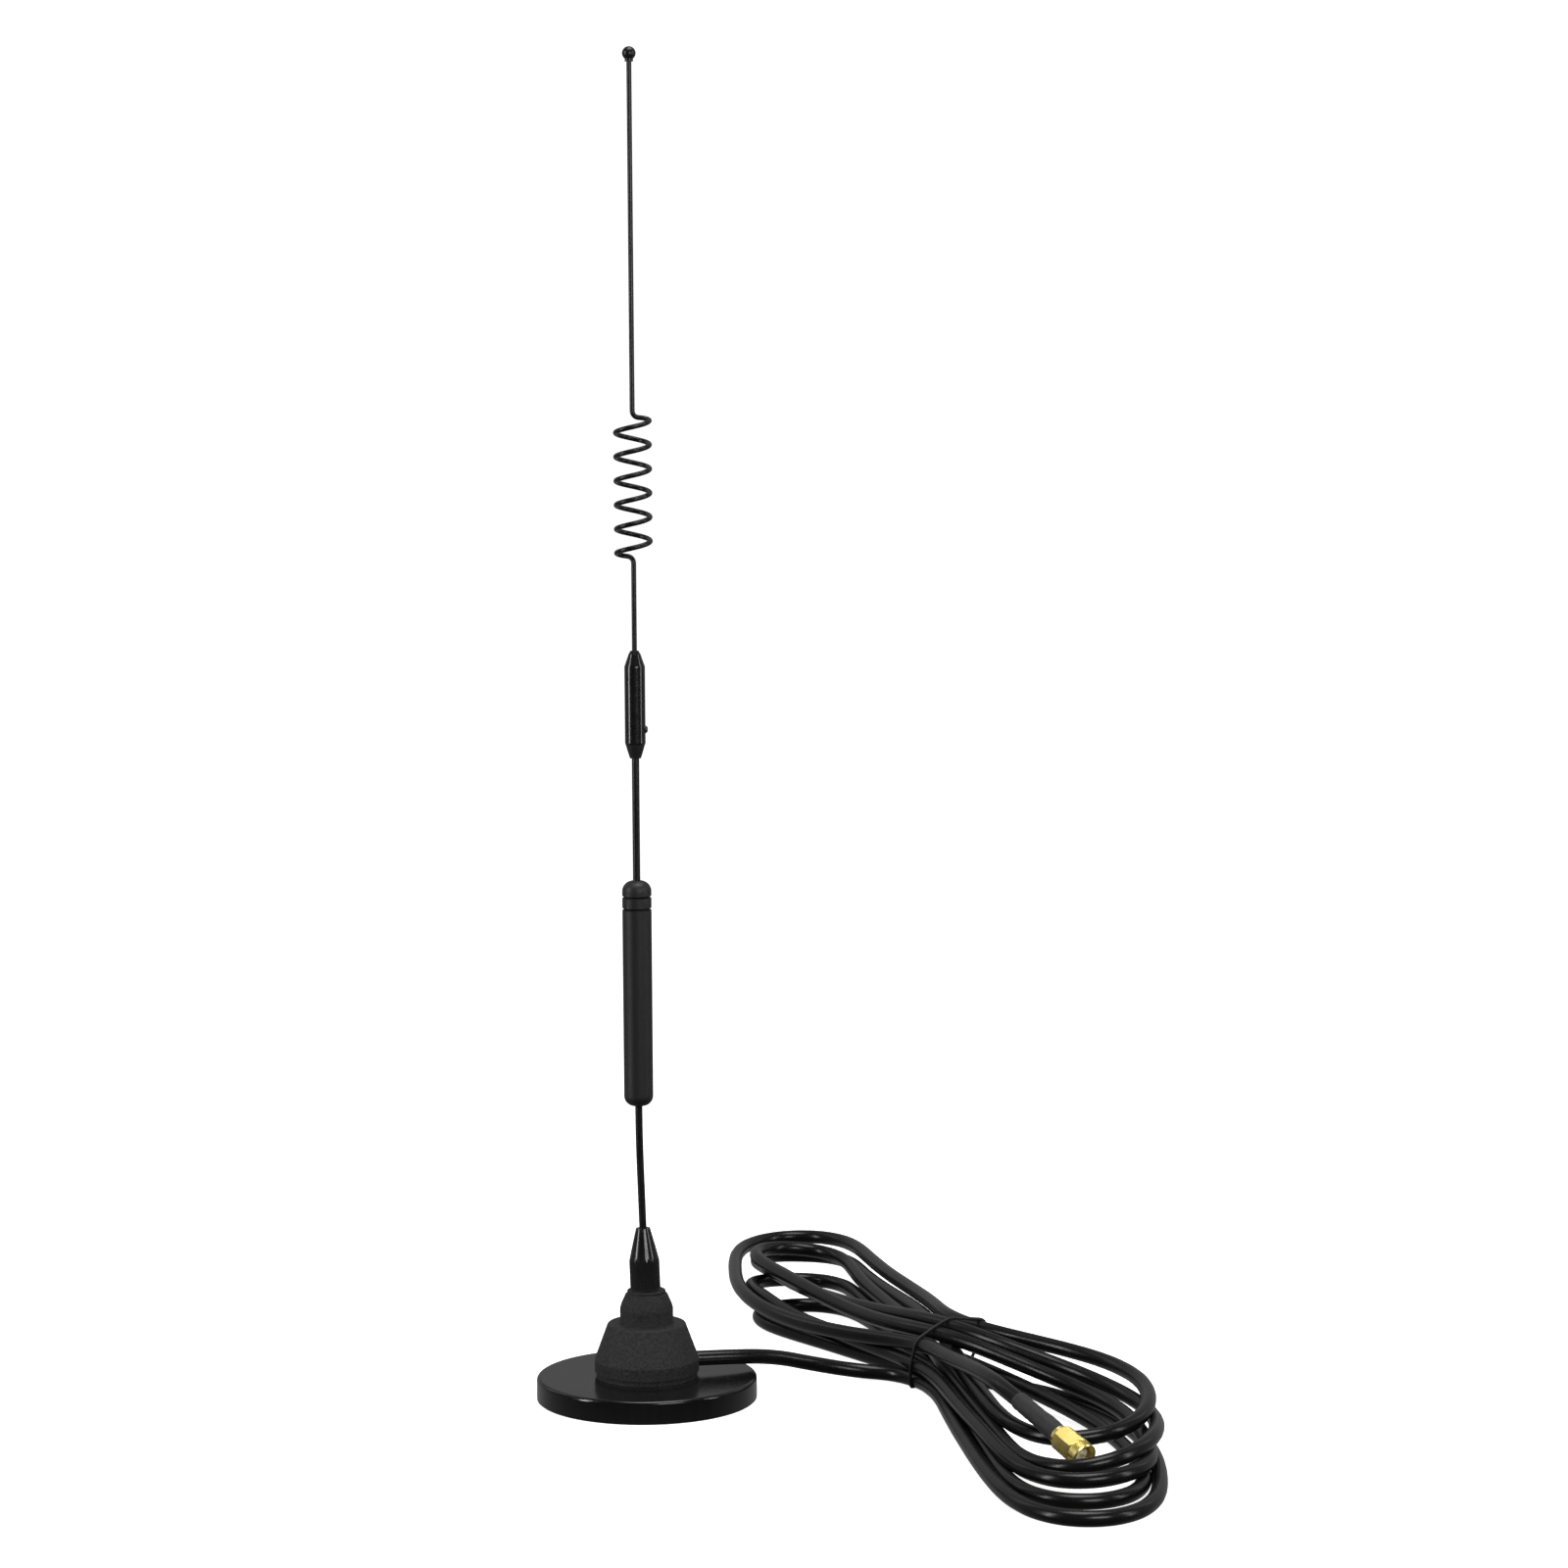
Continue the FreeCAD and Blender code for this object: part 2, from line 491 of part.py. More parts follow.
sleeve = turned("coil_sleeve", [("0", "sleeve_low"), ("sleeve_radius", "sleeve_low"),
                                ("sleeve_radius", "sleeve_high"), ("0", "sleeve_high")])
round_edges(sleeve, "sleeve_top_dome", "sleeve_top_round", ring_at(S("sleeve_radius"), S("sleeve_high")))
round_edges(sleeve, "sleeve_bottom_dome", "sleeve_bottom_round", ring_at(S("sleeve_radius"), S("sleeve_low")))
groove(sleeve, "sleeve_bore", [("0", "sleeve_low-1"), ("rod_fit", "sleeve_low-1"),
                               ("rod_fit", "sleeve_high+1"), ("0", "sleeve_high+1")])
groove(sleeve, "sleeve_hollow", [("0", "sleeve_cavity_low"), ("sleeve_cavity", "sleeve_cavity_low"),
                                 ("sleeve_cavity", "sleeve_cavity_high"), ("0", "sleeve_cavity_high")])
groove(sleeve, "sleeve_notch_one", [("sleeve_radius-notch_depth", "notch_one"),
                                    ("sleeve_radius+0.2", "notch_one+notch_half"),
                                    ("sleeve_radius+0.2", "notch_one-notch_half")])
groove(sleeve, "sleeve_notch_two", [("sleeve_radius-notch_depth", "notch_two"),
                                    ("sleeve_radius+0.2", "notch_two+notch_half"),
                                    ("sleeve_radius+0.2", "notch_two-notch_half")])

turned("coil_former", [
    ("0", "rod_low_top"), ("rod_fit", "rod_low_top"), ("rod_fit", "former_low"),
    ("former_radius", "former_low"), ("former_radius", "former_high"), ("rod_fit", "former_high"),
    ("rod_fit", "rod_mid_bottom"), ("0", "rod_mid_bottom")])
turned("coil_cap_lower", [
    ("rod_fit", "cap_low"), ("cap_radius", "cap_low"), ("cap_radius", "cap_low+cap_length"),
    ("former_radius+0.01", "cap_low+cap_length"), ("former_radius+0.01", "former_low"),
    ("rod_fit", "former_low")])
turned("coil_cap_upper", [
    ("rod_fit", "former_high"), ("former_radius+0.01", "former_high"),
    ("former_radius+0.01", "former_high-2.6"), ("cap_radius", "former_high-2.6"),
    ("cap_radius", "former_high+4.8"), ("rod_fit", "former_high+4.8")])


def ring_profile(centre, direction, radius):
    return Part.Wire([Part.Edge(Part.Circle(centre, direction, radius))])


def helix_sweep(radius, pitch, height, wire, start_angle, low):
    path = Part.makeHelix(pitch, height, radius)
    prof = ring_profile(Vector(radius, 0, 0), Vector(0, 1, pitch / (2 * math.pi * radius)), wire)
    pipe = Part.BRepOffsetAPI.MakePipeShell(Part.Wire(path.Edges))
    pipe.setFrenetMode(True)
    pipe.add(prof)
    pipe.build()
    pipe.makeSolid()
    sh = pipe.shape()
    if sh.Volume < 0:
        sh.reverse()
    sh.rotate(Vector(0, 0, 0), Vector(0, 0, 1), start_angle)
    sh.translate(Vector(0, 0, low))
    return sh


coil_low = S("cap_low") + S("cap_length") - 0.25
coil_high = S("former_high") - 2.6 + 0.25
winding = doc.addObject("Part::Feature", "loading_coil")
winding.Shape = helix_sweep(S("coil_radius"), S("coil_pitch"), coil_high - coil_low, S("coil_wire"), 0, 0)
winding.Placement = Placement(Vector(0, 0, coil_low), Rotation())
keep(winding, "loading_coil")

# ------------------------------------------------------------------ tuning tube
tube = turned("tuning_tube", [
    ("0", "tube_socket_top"), ("rod_fit", "tube_socket_top"), ("rod_fit", "tube_low"),
    ("tube_foot_radius", "tube_low"), ("tube_radius", "tube_foot"), ("tube_radius", "tube_shoulder"),
    ("tube_neck_radius", "tube_neck"), ("tube_tip_radius", "tube_high"),
    ("tube_bore", "tube_high"), ("tube_bore", "tube_bore_floor"), ("0", "tube_bore_floor")])
round_edges(tube, "tube_shoulder_round", "1.5", ring_at(S("tube_radius"), S("tube_shoulder")))
before = tube.Shape.Volume
sk = new_sketch(tube, "set_screw_hole_sketch", "YZ_Plane")
sk.addGeometry(Part.Circle(Vector(0, S("screw_height"), 0), Vector(0, 0, 1), S("screw_hole")), False)
sk.addConstraint(Sketcher.Constraint("PointOnObject", 0, 3, -2))
k = sk.addConstraint(Sketcher.Constraint("DistanceY", -1, 1, 0, 3, S("screw_height")))
sk.setExpression("Constraints[%d]" % k, "Dims.screw_height")
k = sk.addConstraint(Sketcher.Constraint("Radius", 0, S("screw_hole")))
sk.setExpression("Constraints[%d]" % k, "Dims.screw_hole")
pk = tube.newObject("PartDesign::Pocket", "set_screw_hole")
pk.Profile = sk
pk.Length = 6
doc.recompute()
if tube.Shape.BoundBox.XMax > 0 and not tube.Shape.Volume < before - 1e-6:
    pk.Reversed = True
    doc.recompute()
probe = Vector(S("tube_radius") - 0.6, 0, S("screw_height"))
if tube.Shape.isInside(probe, 1e-4, True):
    pk.Reversed = not pk.Reversed
    doc.recompute()
if tube.Shape.isInside(probe, 1e-4, True):
    raise RuntimeError("set screw hole is on the wrong side")

turned("tube_end_bush", [
    ("rod_fit", "bush_low"), ("bush_low_radius", "bush_low"), ("bush_mid_radius", "bush_mid"),
    ("bush_top_radius", "tube_low"), ("rod_fit", "tube_low")])

# set screw: turned about its own axis, then laid along +X through the tube wall
screw = turned("set_screw", [
    ("0", "screw_tip"), ("screw_radius-0.3", "screw_tip"), ("screw_radius", "screw_tip+0.4"),
    ("screw_radius", "screw_body_end"), ("screw_radius-0.35", "screw_dome-0.15"),
    ("screw_radius-0.8", "screw_dome"), ("0", "screw_dome")])
sk = new_sketch(screw, "set_screw_hex", "XY_Plane")
sk.AttachmentOffset = Placement(Vector(0, 0, S("screw_dome")), Rotation())
sk.setExpression("AttachmentOffset.Base.z", "Dims.screw_dome")
pts = [Vector(0.38 * math.cos(math.radians(60 * k)), 0.38 * math.sin(math.radians(60 * k)), 0) for k in range(6)]
for k in range(6):
    sk.addGeometry(Part.LineSegment(pts[k], pts[(k + 1) % 6]), False)
for k in range(6):
    sk.addConstraint(Sketcher.Constraint("Coincident", k, 2, (k + 1) % 6, 1))
pocket(screw, sk, "set_screw_socket", "0.9")
screw.Placement = Placement(Vector(0, 0, S("screw_height")), Rotation(Vector(0, 0, 1), Vector(1, 0, 0)))

# ------------------------------------------------------------------ swept wires and cords


def fillet_route(points, name, fixed=None, show=True):
    """Straight runs joined by tangent arcs. Each arc's radius is 0.45 of its shorter run
    over the tangent of half the turn, unless one is fixed."""
    pts = [Vector(*p) for p in points]
    edges, radii = [], []
    last = pts[0]
    for i in range(1, len(pts) - 1):
        a, b, c = pts[i - 1], pts[i], pts[i + 1]
        u = (b - a).normalize()
        v = (c - b).normalize()
        turn = u.getAngle(v)
        if turn < 1e-4:
            raise RuntimeError("%s: three points in line at %d" % (name, i))
        shorter = min((b - a).Length, (c - b).Length)
        radius = 0.45 * shorter / math.tan(turn / 2)
        if fixed and fixed.get(i):
            radius = fixed[i]
        t = radius * math.tan(turn / 2)
        p, q = b - u * t, b + v * t
        bis = (v - u).normalize()
        centre = b + bis * (radius / math.cos(turn / 2))
        mid = centre - bis * radius
        edges.append(Part.LineSegment(last, p).toShape())
        edges.append(Part.Arc(p, mid, q).toShape())
        radii.append(radius)
        last = q
    edges.append(Part.LineSegment(last, pts[-1]).toShape())
    wire = Part.Wire(edges)
    if show:
        print("%s: length %.1f, radii %s" % (name, wire.Length, " ".join("%.1f" % r for r in radii)))
    return wire


def sweep(wire, radius):
    first = wire.OrderedEdges[0]
    start = first.valueAt(first.FirstParameter)
    tangent = first.tangentAt(first.FirstParameter)
    prof = ring_profile(start, tangent, radius)
    pipe = Part.BRepOffsetAPI.MakePipeShell(wire)
    pipe.setFrenetMode(False)
    pipe.add(prof)
    pipe.build()
    pipe.makeSolid()
    sh = pipe.shape()
    if sh.Volume < 0:
        sh.reverse()
    want = math.pi * radius ** 2 * wire.Length
    if abs(sh.Volume - want) > 0.01 * want:
        raise RuntimeError("sweep volume %.1f, wanted %.1f" % (sh.Volume, want))
    return sh


# whip: a straight rod bent out to an air-wound phasing coil and back to the axis
hr, hp = S("helix_radius"), (S("helix_high") - S("helix_low")) / S("helix_turns")
slope = hp / (2 * math.pi)
horiz = hr / math.hypot(hr, slope)
rise = slope / math.hypot(hr, slope)
lead_in = S("helix_lead_in")
# lower end of the coil: angle 180 degrees, running on upwards and counter-clockwise
low_pt = Vector(-hr, 0, S("helix_low"))
low_dir = Vector(0, -horiz, rise)
low_corner = low_pt - low_dir * lead_in
low_route = [(0, 0, S("whip_low")), (0, 0, low_corner.z - 0.7), tuple(low_corner), tuple(low_pt)]
low_sweep = sweep(fillet_route(low_route, "whip lower bend", {1: 2.2, 2: 1.55}), S("whip_radius"))
# upper end: angle 0
top_pt = Vector(hr, 0, S("helix_high"))
top_dir = Vector(0, horiz, rise)
top_corner = top_pt + top_dir * lead_in
top_route = [tuple(top_pt), tuple(top_corner), (0, 0, top_corner.z + 0.7), (0, 0, S("whip_high"))]
top_sweep = sweep(fillet_route(top_route, "whip upper bend", {1: 1.55, 2: 2.2}), S("whip_radius"))
mid_sweep = helix_sweep(hr, hp, S("helix_high") - S("helix_low"), S("whip_radius"), 180, S("helix_low"))
whole = low_sweep.fuse([mid_sweep, top_sweep])
if len(whole.Solids) != 1:
    raise RuntimeError("whip came out as %d solids" % len(whole.Solids))
whip = doc.addObject("Part::Feature", "upper_whip")
whip.Shape = whole.Solids[0]
whip.Placement = Placement()
keep(whip, "upper_whip")

ball = turned("tip_ball", [
    ("whip_radius+0.005", "ball_neck_low"), ("ball_neck_radius", "ball_neck_low"),
    ("ball_neck_radius", "ball_height"), ("0", "ball_height"), ("0", "whip_high"),
    ("whip_radius+0.005", "whip_high")])
sph = doc.addObject("Part::Sphere", "tip_ball_sphere")
sph.setExpression("Radius", "Dims.ball_radius")
sph.Placement = Placement(Vector(0, 0, S("ball_height")), Rotation())
drill = doc.addObject("Part::Cylinder", "tip_ball_drill")
drill.setExpression("Radius", "Dims.whip_radius+0.005")
drill.Height = S("whip_high") - S("ball_neck_low") + 1
drill.Placement = Placement(Vector(0, 0, S("ball_neck_low") - 1), Rotation())
ball_cut = doc.addObject("Part::Cut", "tip_ball_round")
ball_cut.Base, ball_cut.Tool = sph, drill
ball_all = doc.addObject("Part::Fuse", "tip_ball_whole")
ball_all.Base, ball_all.Tool = ball_cut, ball
doc.recompute()
NODES = [n for n in NODES if n[1] != "tip_ball"]
ball.Label = "tip_ball_neck"
keep(ball_all, "tip_ball")

# ------------------------------------------------------------------ lean of the mast
# The stud and the ferrule on it lean towards -X. The lower rod bends back, and
# everything above it stands on a nearly upright axis set over to -X.
hinge_at = Vector(0, 0, S("lean_height"))
leaning = Placement(hinge_at, Rotation(Vector(0, 1, 0), -S("lean_angle"))).multiply(
    Placement(hinge_at * -1, Rotation()))
upper = Placement(Vector(-S("upper_shift"), 0, S("upper_height")),
                  Rotation(Vector(0, 1, 0), -S("upper_lean"))).multiply(
    Placement(Vector(0, 0, -S("upper_height")), Rotation()))
LEANING = ("contact_stud", "stud_nut", "stud_washer", "contact_lug", "mast_seal", "mast_ferrule")
UPPER = ("coil_sleeve", "coil_former", "coil_cap_lower", "coil_cap_upper", "loading_coil",
         "middle_rod", "tuning_tube", "tube_end_bush", "set_screw", "upper_whip", "tip_ball")
for obj, label in NODES:
    if label in LEANING:
        obj.Placement = leaning.multiply(obj.Placement)
    if label in UPPER:
        obj.Placement = upper.multiply(obj.Placement)
foot = leaning.multVec(Vector(0, 0, S("rod_low_end")))
head = upper.multVec(Vector(0, 0, S("rod_low_top")))
lean_dir = leaning.Rotation.multVec(Vector(0, 0, 1))
upper_dir = upper.Rotation.multVec(Vector(0, 0, 1))
# where the two axes cross in the XZ plane
gap_x, gap_z = head.x - foot.x, head.z - foot.z
det = lean_dir.x * -upper_dir.z + upper_dir.x * lean_dir.z
reach = (gap_x * -upper_dir.z + upper_dir.x * gap_z) / det
corner = foot + lean_dir * reach
print("rod corner", corner, "axes", lean_dir, upper_dir)
rod = doc.addObject("Part::Feature", "lower_rod")
bend = 9.0 / math.tan(lean_dir.getAngle(upper_dir) / 2)
rod.Shape = sweep(fillet_route([tuple(foot), tuple(corner), tuple(head)], "lower_rod", {1: bend}),
                  S("rod_radius"))
rod.Placement = Placement()
keep(rod, "lower_rod")

# ------------------------------------------------------------------ coaxial lead
# The stretch from the housing to the tied coil. Points in millimetres.
r = S("cable_radius")
LEAD = [(10.0, 2.13, 12.2), (26.1, 5.55, 12.2), (41.6, 12.4, 10.6), (54.8, 19.4, 6.2),
        (68.5, 22.6, 3.1), (81.3, 20.6, 2.6), (91.0, 14.2, 2.6)]
lead = doc.addObject("Part::Feature", "cable_lead")
lead.Shape = sweep(fillet_route(LEAD, "cable_lead"), r)
lead.Placement = Placement()
keep(lead, "cable_lead")

aim = Vector(S("aim_x"), S("aim_y"), S("aim_z")).normalize()
rear = Vector(S("plug_x"), S("plug_y"), S("plug_z"))
tie_at = Vector(S("tie_x"), S("tie_y"), S("tie_z"))
along = Vector(S("bundle_x"), S("bundle_y"), 0).normalize()
joint = rear + aim * 14.3
turnpt = rear - aim * 7.0
TAIL = [(93.8, 16.5, 14.9), (93.6, 4.0, 15.3), (97.6, -13.5, 16.6), (102.6, -34.0, 18.9),
        (107.2, -54.5, 21.2), tuple(turnpt), tuple(joint)]
tail = doc.addObject("Part::Feature", "cable_tail")
tail.Shape = sweep(fillet_route(TAIL, "cable_tail"), r)
tail.Placement = Placement()
keep(tail, "cable_tail")
print("cable_tail points", [tuple(round(c, 2) for c in p) for p in TAIL])

# inner conductor and braid inside the housing
core = doc.addObject("Part::Feature", "core_wire")
core.Shape = sweep(fillet_route([(10.2, 2.17, 12.2), (7.3, 1.55, 13.0), (7.2, 1.1, 17.5), (6.8, 0.4, 21.05)],
                                "core_wire", {1: 1.4, 2: 4.0}), 0.7)
core.Placement = Placement()
keep(core, "core_wire")
braid = doc.addObject("Part::Feature", "braid_tail")
braid.Shape = sweep(fillet_route([(10.2, 1.0, 11.0), (6.6, -1.2, 10.6), (4.2, -4.6, 9.6), (2.7, -6.2, 8.3)],
                                 "braid_tail", {1: 3.0, 2: 3.0}), 0.8)
braid.Placement = Placement()
keep(braid, "braid_tail")

# coil of cable: two flat lobes and the round bundle between them where the tie goes round
FAR = [(104.6, 30.5), (105.0, 42), (98.3, 76), (89.0, 117), (79.4, 159), (69.3, 195), (59.0, 213),
       (49.2, 218.4), (38.0, 214.3), (31.0, 198), (27.1, 177), (25.6, 150), (27.4, 130.5), (31.6, 111),
       (37.7, 94), (46.2, 76), (59.6, 55.5), (71.9, 39), (84.5, 24)]
NEAR = [(107.6, 20.5), (115, 24.5), (127, 22.8), (143, 15.6), (154.5, 6.6), (161, -8.5), (163.9, -26),
        (164.6, -47), (164.5, -70), (163.0, -92), (158.8, -112), (151.8, -135), (144, -150.5),
        (134.3, -157.2), (125.2, -150.3), (117.2, -134), (109.5, -109.5), (102.6, -72), (96.9, -26),
        (91.2, 7.5)]


def lobe(points, height):
    curve = Part.BSplineCurve()
    curve.interpolate([Vector(x, y, 0) for x, y in points], PeriodicFlag=True)
    return Part.Face(Part.Wire([curve.toShape()])).extrude(Vector(0, 0, height))


far = lobe(FAR, S("far_height"))
near = lobe(NEAR, S("near_height"))
bundle = Part.makeCylinder(S("bundle_radius"), 2 * S("bundle_half"), tie_at - along * S("bundle_half"), along)
gap = Part.makeBox(60, 9, 60)
gap.translate(Vector(-30, -4.5, -30))
gap.Placement = Placement(tie_at, Rotation(Vector(0, 1, 0), along)).multiply(gap.Placement)
lobes = far.fuse(near).cut(gap)
hank = lobes.fuse(bundle)
mouth_at = rear + aim * S("mouth")
nose = Part.makeCylinder(6.2, 28.0, mouth_at - aim * 24.0, aim)
nose_up = nose.copy()
nose_up.translate(Vector(0, 0, 6))
hank = hank.cut(nose.fuse(nose_up)).removeSplitter()
if len(hank.Solids) != 1:
    raise RuntimeError("hank came out as %d solids" % len(hank.Solids))
coil = doc.addObject("Part::Feature", "cable_hank")
coil.Shape = hank.Solids[0]
coil.Placement = Placement()
keep(coil, "cable_hank")

tie = doc.addObject("Part::Torus", "cable_tie")
tie.setExpression("Radius1", "Dims.bundle_radius+Dims.tie_wire")
tie.setExpression("Radius2", "Dims.tie_wire")
tie.Placement = Placement(tie_at, Rotation(Vector(0, 0, 1), along))
doc.recompute()
keep(tie, "cable_tie")

# ------------------------------------------------------------------ connector
seat = Placement(rear, Rotation(Vector(0, 0, 1), aim))


def on_plug(body):
    body.Placement = seat
    return body


on_plug(turned("heat_shrink", [
    ("cable_radius+0.01", "0"), ("shrink_rear_radius", "0"), ("shrink_rear_radius", "shrink_step-1"),
    ("shrink_front_radius", "shrink_step+0.8"), ("shrink_front_radius", "shrink_end"),
    ("crimp_radius+0.01", "shrink_end"), ("crimp_radius+0.01", "crimp_low-0.05"),
    ("cable_radius+0.01", "crimp_low-0.05")]))
on_plug(turned("crimp_ferrule", [
    ("crimp_bore", "crimp_low"), ("crimp_radius", "crimp_low"), ("crimp_radius", "shrink_end"),
    ("crimp_bore", "shrink_end")]))
on_plug(turned("sma_body", [
    ("pin_radius+0.5", "spigot_low"), ("spigot_radius", "spigot_low"), ("spigot_radius", "collar_low"),
    ("collar_radius", "collar_low"), ("collar_radius", "collar_high"), ("shoulder_radius", "collar_high"),
    ("shoulder_radius", "ring_low"), ("ring_groove", "ring_low"), ("ring_groove", "ring_high"),
    ("shoulder_radius", "ring_high"), ("shoulder_radius", "shoulder_high"),
    ("shell_radius", "shoulder_high"), ("shell_radius", "shell_high"), ("shell_bore", "shell_high"),
    ("shell_bore", "shell_bore_low"), ("pin_radius+0.5", "shell_bore_low")]))
on_plug(turned("sma_dielectric", [
    ("pin_radius+0.005", "spigot_low"), ("pin_radius+0.49", "spigot_low"),
    ("pin_radius+0.49", "shell_bore_low"), ("shell_bore-0.01", "shell_bore_low"),
    ("shell_bore-0.01", "shell_high"), ("pin_radius+0.005", "shell_high")]))
on_plug(turned("sma_pin", [
    ("0", "spigot_low+0.4"), ("pin_radius", "spigot_low+0.4"), ("pin_radius", "pin_high-0.4"),
    ("pin_radius-0.22", "pin_high"), ("0", "pin_high")]))
on_plug(turned("snap_ring", [
    ("ring_inner", "ring_low+0.03"), ("ring_outer", "ring_low+0.03"), ("ring_outer", "ring_high-0.03"),
    ("ring_inner", "ring_high-0.03")]))
on_plug(turned("sma_gasket", [
    ("gasket_inner", "gasket_low"), ("gasket_outer", "gasket_low"), ("gasket_outer", "gasket_high"),
    ("gasket_inner", "gasket_high")]))

# coupling nut: hexagon, round front collar, internal thread shown as ring grooves
nut = doc.addObject("PartDesign::Body", "sma_nut_blank")
sk = new_sketch(nut, "sma_nut_profile")
polygon(sk, [("nut_bore", "nut_low"), ("nut_flats-0.8-nut_thread_minor", "nut_low"),
             ("nut_flats-nut_thread_major-0.15", "nut_low+0.55"), ("nut_flats-nut_thread_major-0.15", "nut_hex_end"),
             ("nut_collar_radius", "nut_hex_end+0.45"), ("nut_collar_radius", "mouth-0.3"),
             ("nut_collar_radius-0.3", "mouth"), ("nut_mouth_radius", "mouth"),
             ("nut_thread_minor", "mouth-0.55"), ("nut_thread_minor", "nut_bore_end"),
             ("nut_bore", "nut_bore_end")])
rev = nut.newObject("PartDesign::Revolution", "sma_nut_turn")
rev.Profile = sk
rev.ReferenceAxis = (sk, ["V_Axis"])
rev.Angle = 360
doc.recompute()
groove(nut, "sma_nut_ring_groove", [
    ("nut_bore-0.1", "ring_low-0.05"), ("nut_groove", "ring_low-0.05"),
    ("nut_groove", "ring_high+0.05"), ("nut_bore-0.1", "ring_high+0.05")])
first = groove(nut, "sma_nut_thread", [
    ("nut_thread_minor-0.05", "nut_bore_end+1.45"), ("nut_thread_major", "nut_bore_end+1.72"),
    ("nut_thread_major", "nut_bore_end+1.82"), ("nut_thread_minor-0.05", "nut_bore_end+2.09")])
lin = nut.newObject("PartDesign::LinearPattern", "sma_nut_threads")
lin.Originals = [first]
lin.Direction = (plane(nut, "Z_Axis"), [""])
lin.Length = S("nut_thread_pitch") * 5
lin.setExpression("Length", "Dims.nut_thread_pitch*5")
lin.Occurrences = 6
nut.Tip = lin
doc.recompute()
hexbar = doc.addObject("PartDesign::Body", "sma_nut_hexbar")
sk = new_sketch(hexbar, "sma_nut_hex", "XY_Plane")
sk.AttachmentOffset = Placement(Vector(0, 0, S("nut_low") - 0.5), Rotation())
sk.setExpression("AttachmentOffset.Base.z", "Dims.nut_low-0.5")
rad = S("nut_flats") / math.sqrt(3.0)
pts = [Vector(rad * math.cos(math.radians(60 * k)), rad * math.sin(math.radians(60 * k)), 0) for k in range(6)]
for k in range(6):
    sk.addGeometry(Part.LineSegment(pts[k], pts[(k + 1) % 6]), False)
for k in range(6):
    sk.addConstraint(Sketcher.Constraint("Coincident", k, 2, (k + 1) % 6, 1))
sk.addGeometry(Part.Circle(Vector(0, 0, 0), Vector(0, 0, 1), rad), True)
for k in range(6):
    sk.addConstraint(Sketcher.Constraint("PointOnObject", k, 1, 6))
for k in range(5):
    sk.addConstraint(Sketcher.Constraint("Equal", k, k + 1))
sk.addConstraint(Sketcher.Constraint("Coincident", 6, 3, -1, 1))
sk.addConstraint(Sketcher.Constraint("PointOnObject", 0, 1, -1))
c = sk.addConstraint(Sketcher.Constraint("Distance", 0, 1, 3, 1, 2 * rad))
sk.setExpression("Constraints[%d]" % c, "2*Dims.nut_flats/sqrt(3)")
pad(hexbar, sk, "sma_nut_hex_pad", "nut_hex_end-nut_low+0.9")
front = doc.addObject("PartDesign::Body", "sma_nut_front")
sk = new_sketch(front, "sma_nut_front_profile")
polygon(sk, [("0", "nut_hex_end+0.3"), ("nut_flats-nut_thread_minor", "nut_hex_end+0.3"),
             ("nut_flats-nut_thread_minor", "mouth+1"), ("0", "mouth+1")])
rev = front.newObject("PartDesign::Revolution", "sma_nut_front_turn")
rev.Profile = sk
rev.ReferenceAxis = (sk, ["V_Axis"])
rev.Angle = 360
doc.recompute()
limit = doc.addObject("Part::Fuse", "sma_nut_limits")
limit.Base, limit.Tool = hexbar, front
doc.recompute()
nut_fin = doc.addObject("Part::Common", "sma_nut_whole")
nut_fin.Base, nut_fin.Tool = nut, limit
doc.recompute()
nut_fin.Placement = seat
doc.recompute()
keep(nut_fin, "sma_nut")

# ------------------------------------------------------------------ checks and export
doc.recompute()
bad = []
for obj in doc.Objects:
    if any(s in ("Invalid", "Error") for s in obj.State):
        bad.append("%s %s" % (obj.Name, obj.State))
for obj, label in NODES:
    sh = obj.Shape
    if sh.isNull() or not sh.isValid():
        bad.append("%s has no valid shape" % label)
    elif sh.Volume <= 0:
        bad.append("%s has no volume" % label)
if bad:
    raise RuntimeError("; ".join(bad))
for obj, label in NODES:
    obj.Shape.exportStep("parts/%s.step" % label)
    b = obj.Shape.BoundBox
    print("%-16s solids %d vol %9.2f  x %.1f %.1f  y %.1f %.1f  z %.2f %.2f" % (
        label, len(obj.Shape.Solids), obj.Shape.Volume, b.XMin, b.XMax, b.YMin, b.YMax, b.ZMin, b.ZMax))
print(len(NODES), "nodes")
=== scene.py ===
import math
import bpy
import bmesh
from mathutils import Matrix, Quaternion, Vector


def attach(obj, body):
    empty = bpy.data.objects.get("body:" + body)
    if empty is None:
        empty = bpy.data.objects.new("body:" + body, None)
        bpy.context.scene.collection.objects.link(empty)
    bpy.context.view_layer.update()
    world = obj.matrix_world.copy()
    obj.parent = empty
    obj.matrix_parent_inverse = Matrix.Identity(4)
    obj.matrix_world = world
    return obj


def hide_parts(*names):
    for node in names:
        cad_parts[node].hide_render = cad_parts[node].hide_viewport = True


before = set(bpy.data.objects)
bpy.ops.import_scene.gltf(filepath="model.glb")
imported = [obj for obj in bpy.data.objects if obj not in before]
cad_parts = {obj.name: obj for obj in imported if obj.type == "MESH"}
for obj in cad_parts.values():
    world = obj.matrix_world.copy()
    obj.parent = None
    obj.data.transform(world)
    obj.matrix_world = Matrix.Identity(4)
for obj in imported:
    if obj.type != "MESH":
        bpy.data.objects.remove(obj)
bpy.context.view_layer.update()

# ---------------------------------------------------------------- camera
cam_data = bpy.data.cameras.new("camera")
cam_data.sensor_width = 36.0
cam_data.lens = 94.44
cam_data.clip_start = 0.01
cam = bpy.data.objects.new("camera", cam_data)
bpy.context.scene.collection.objects.link(cam)
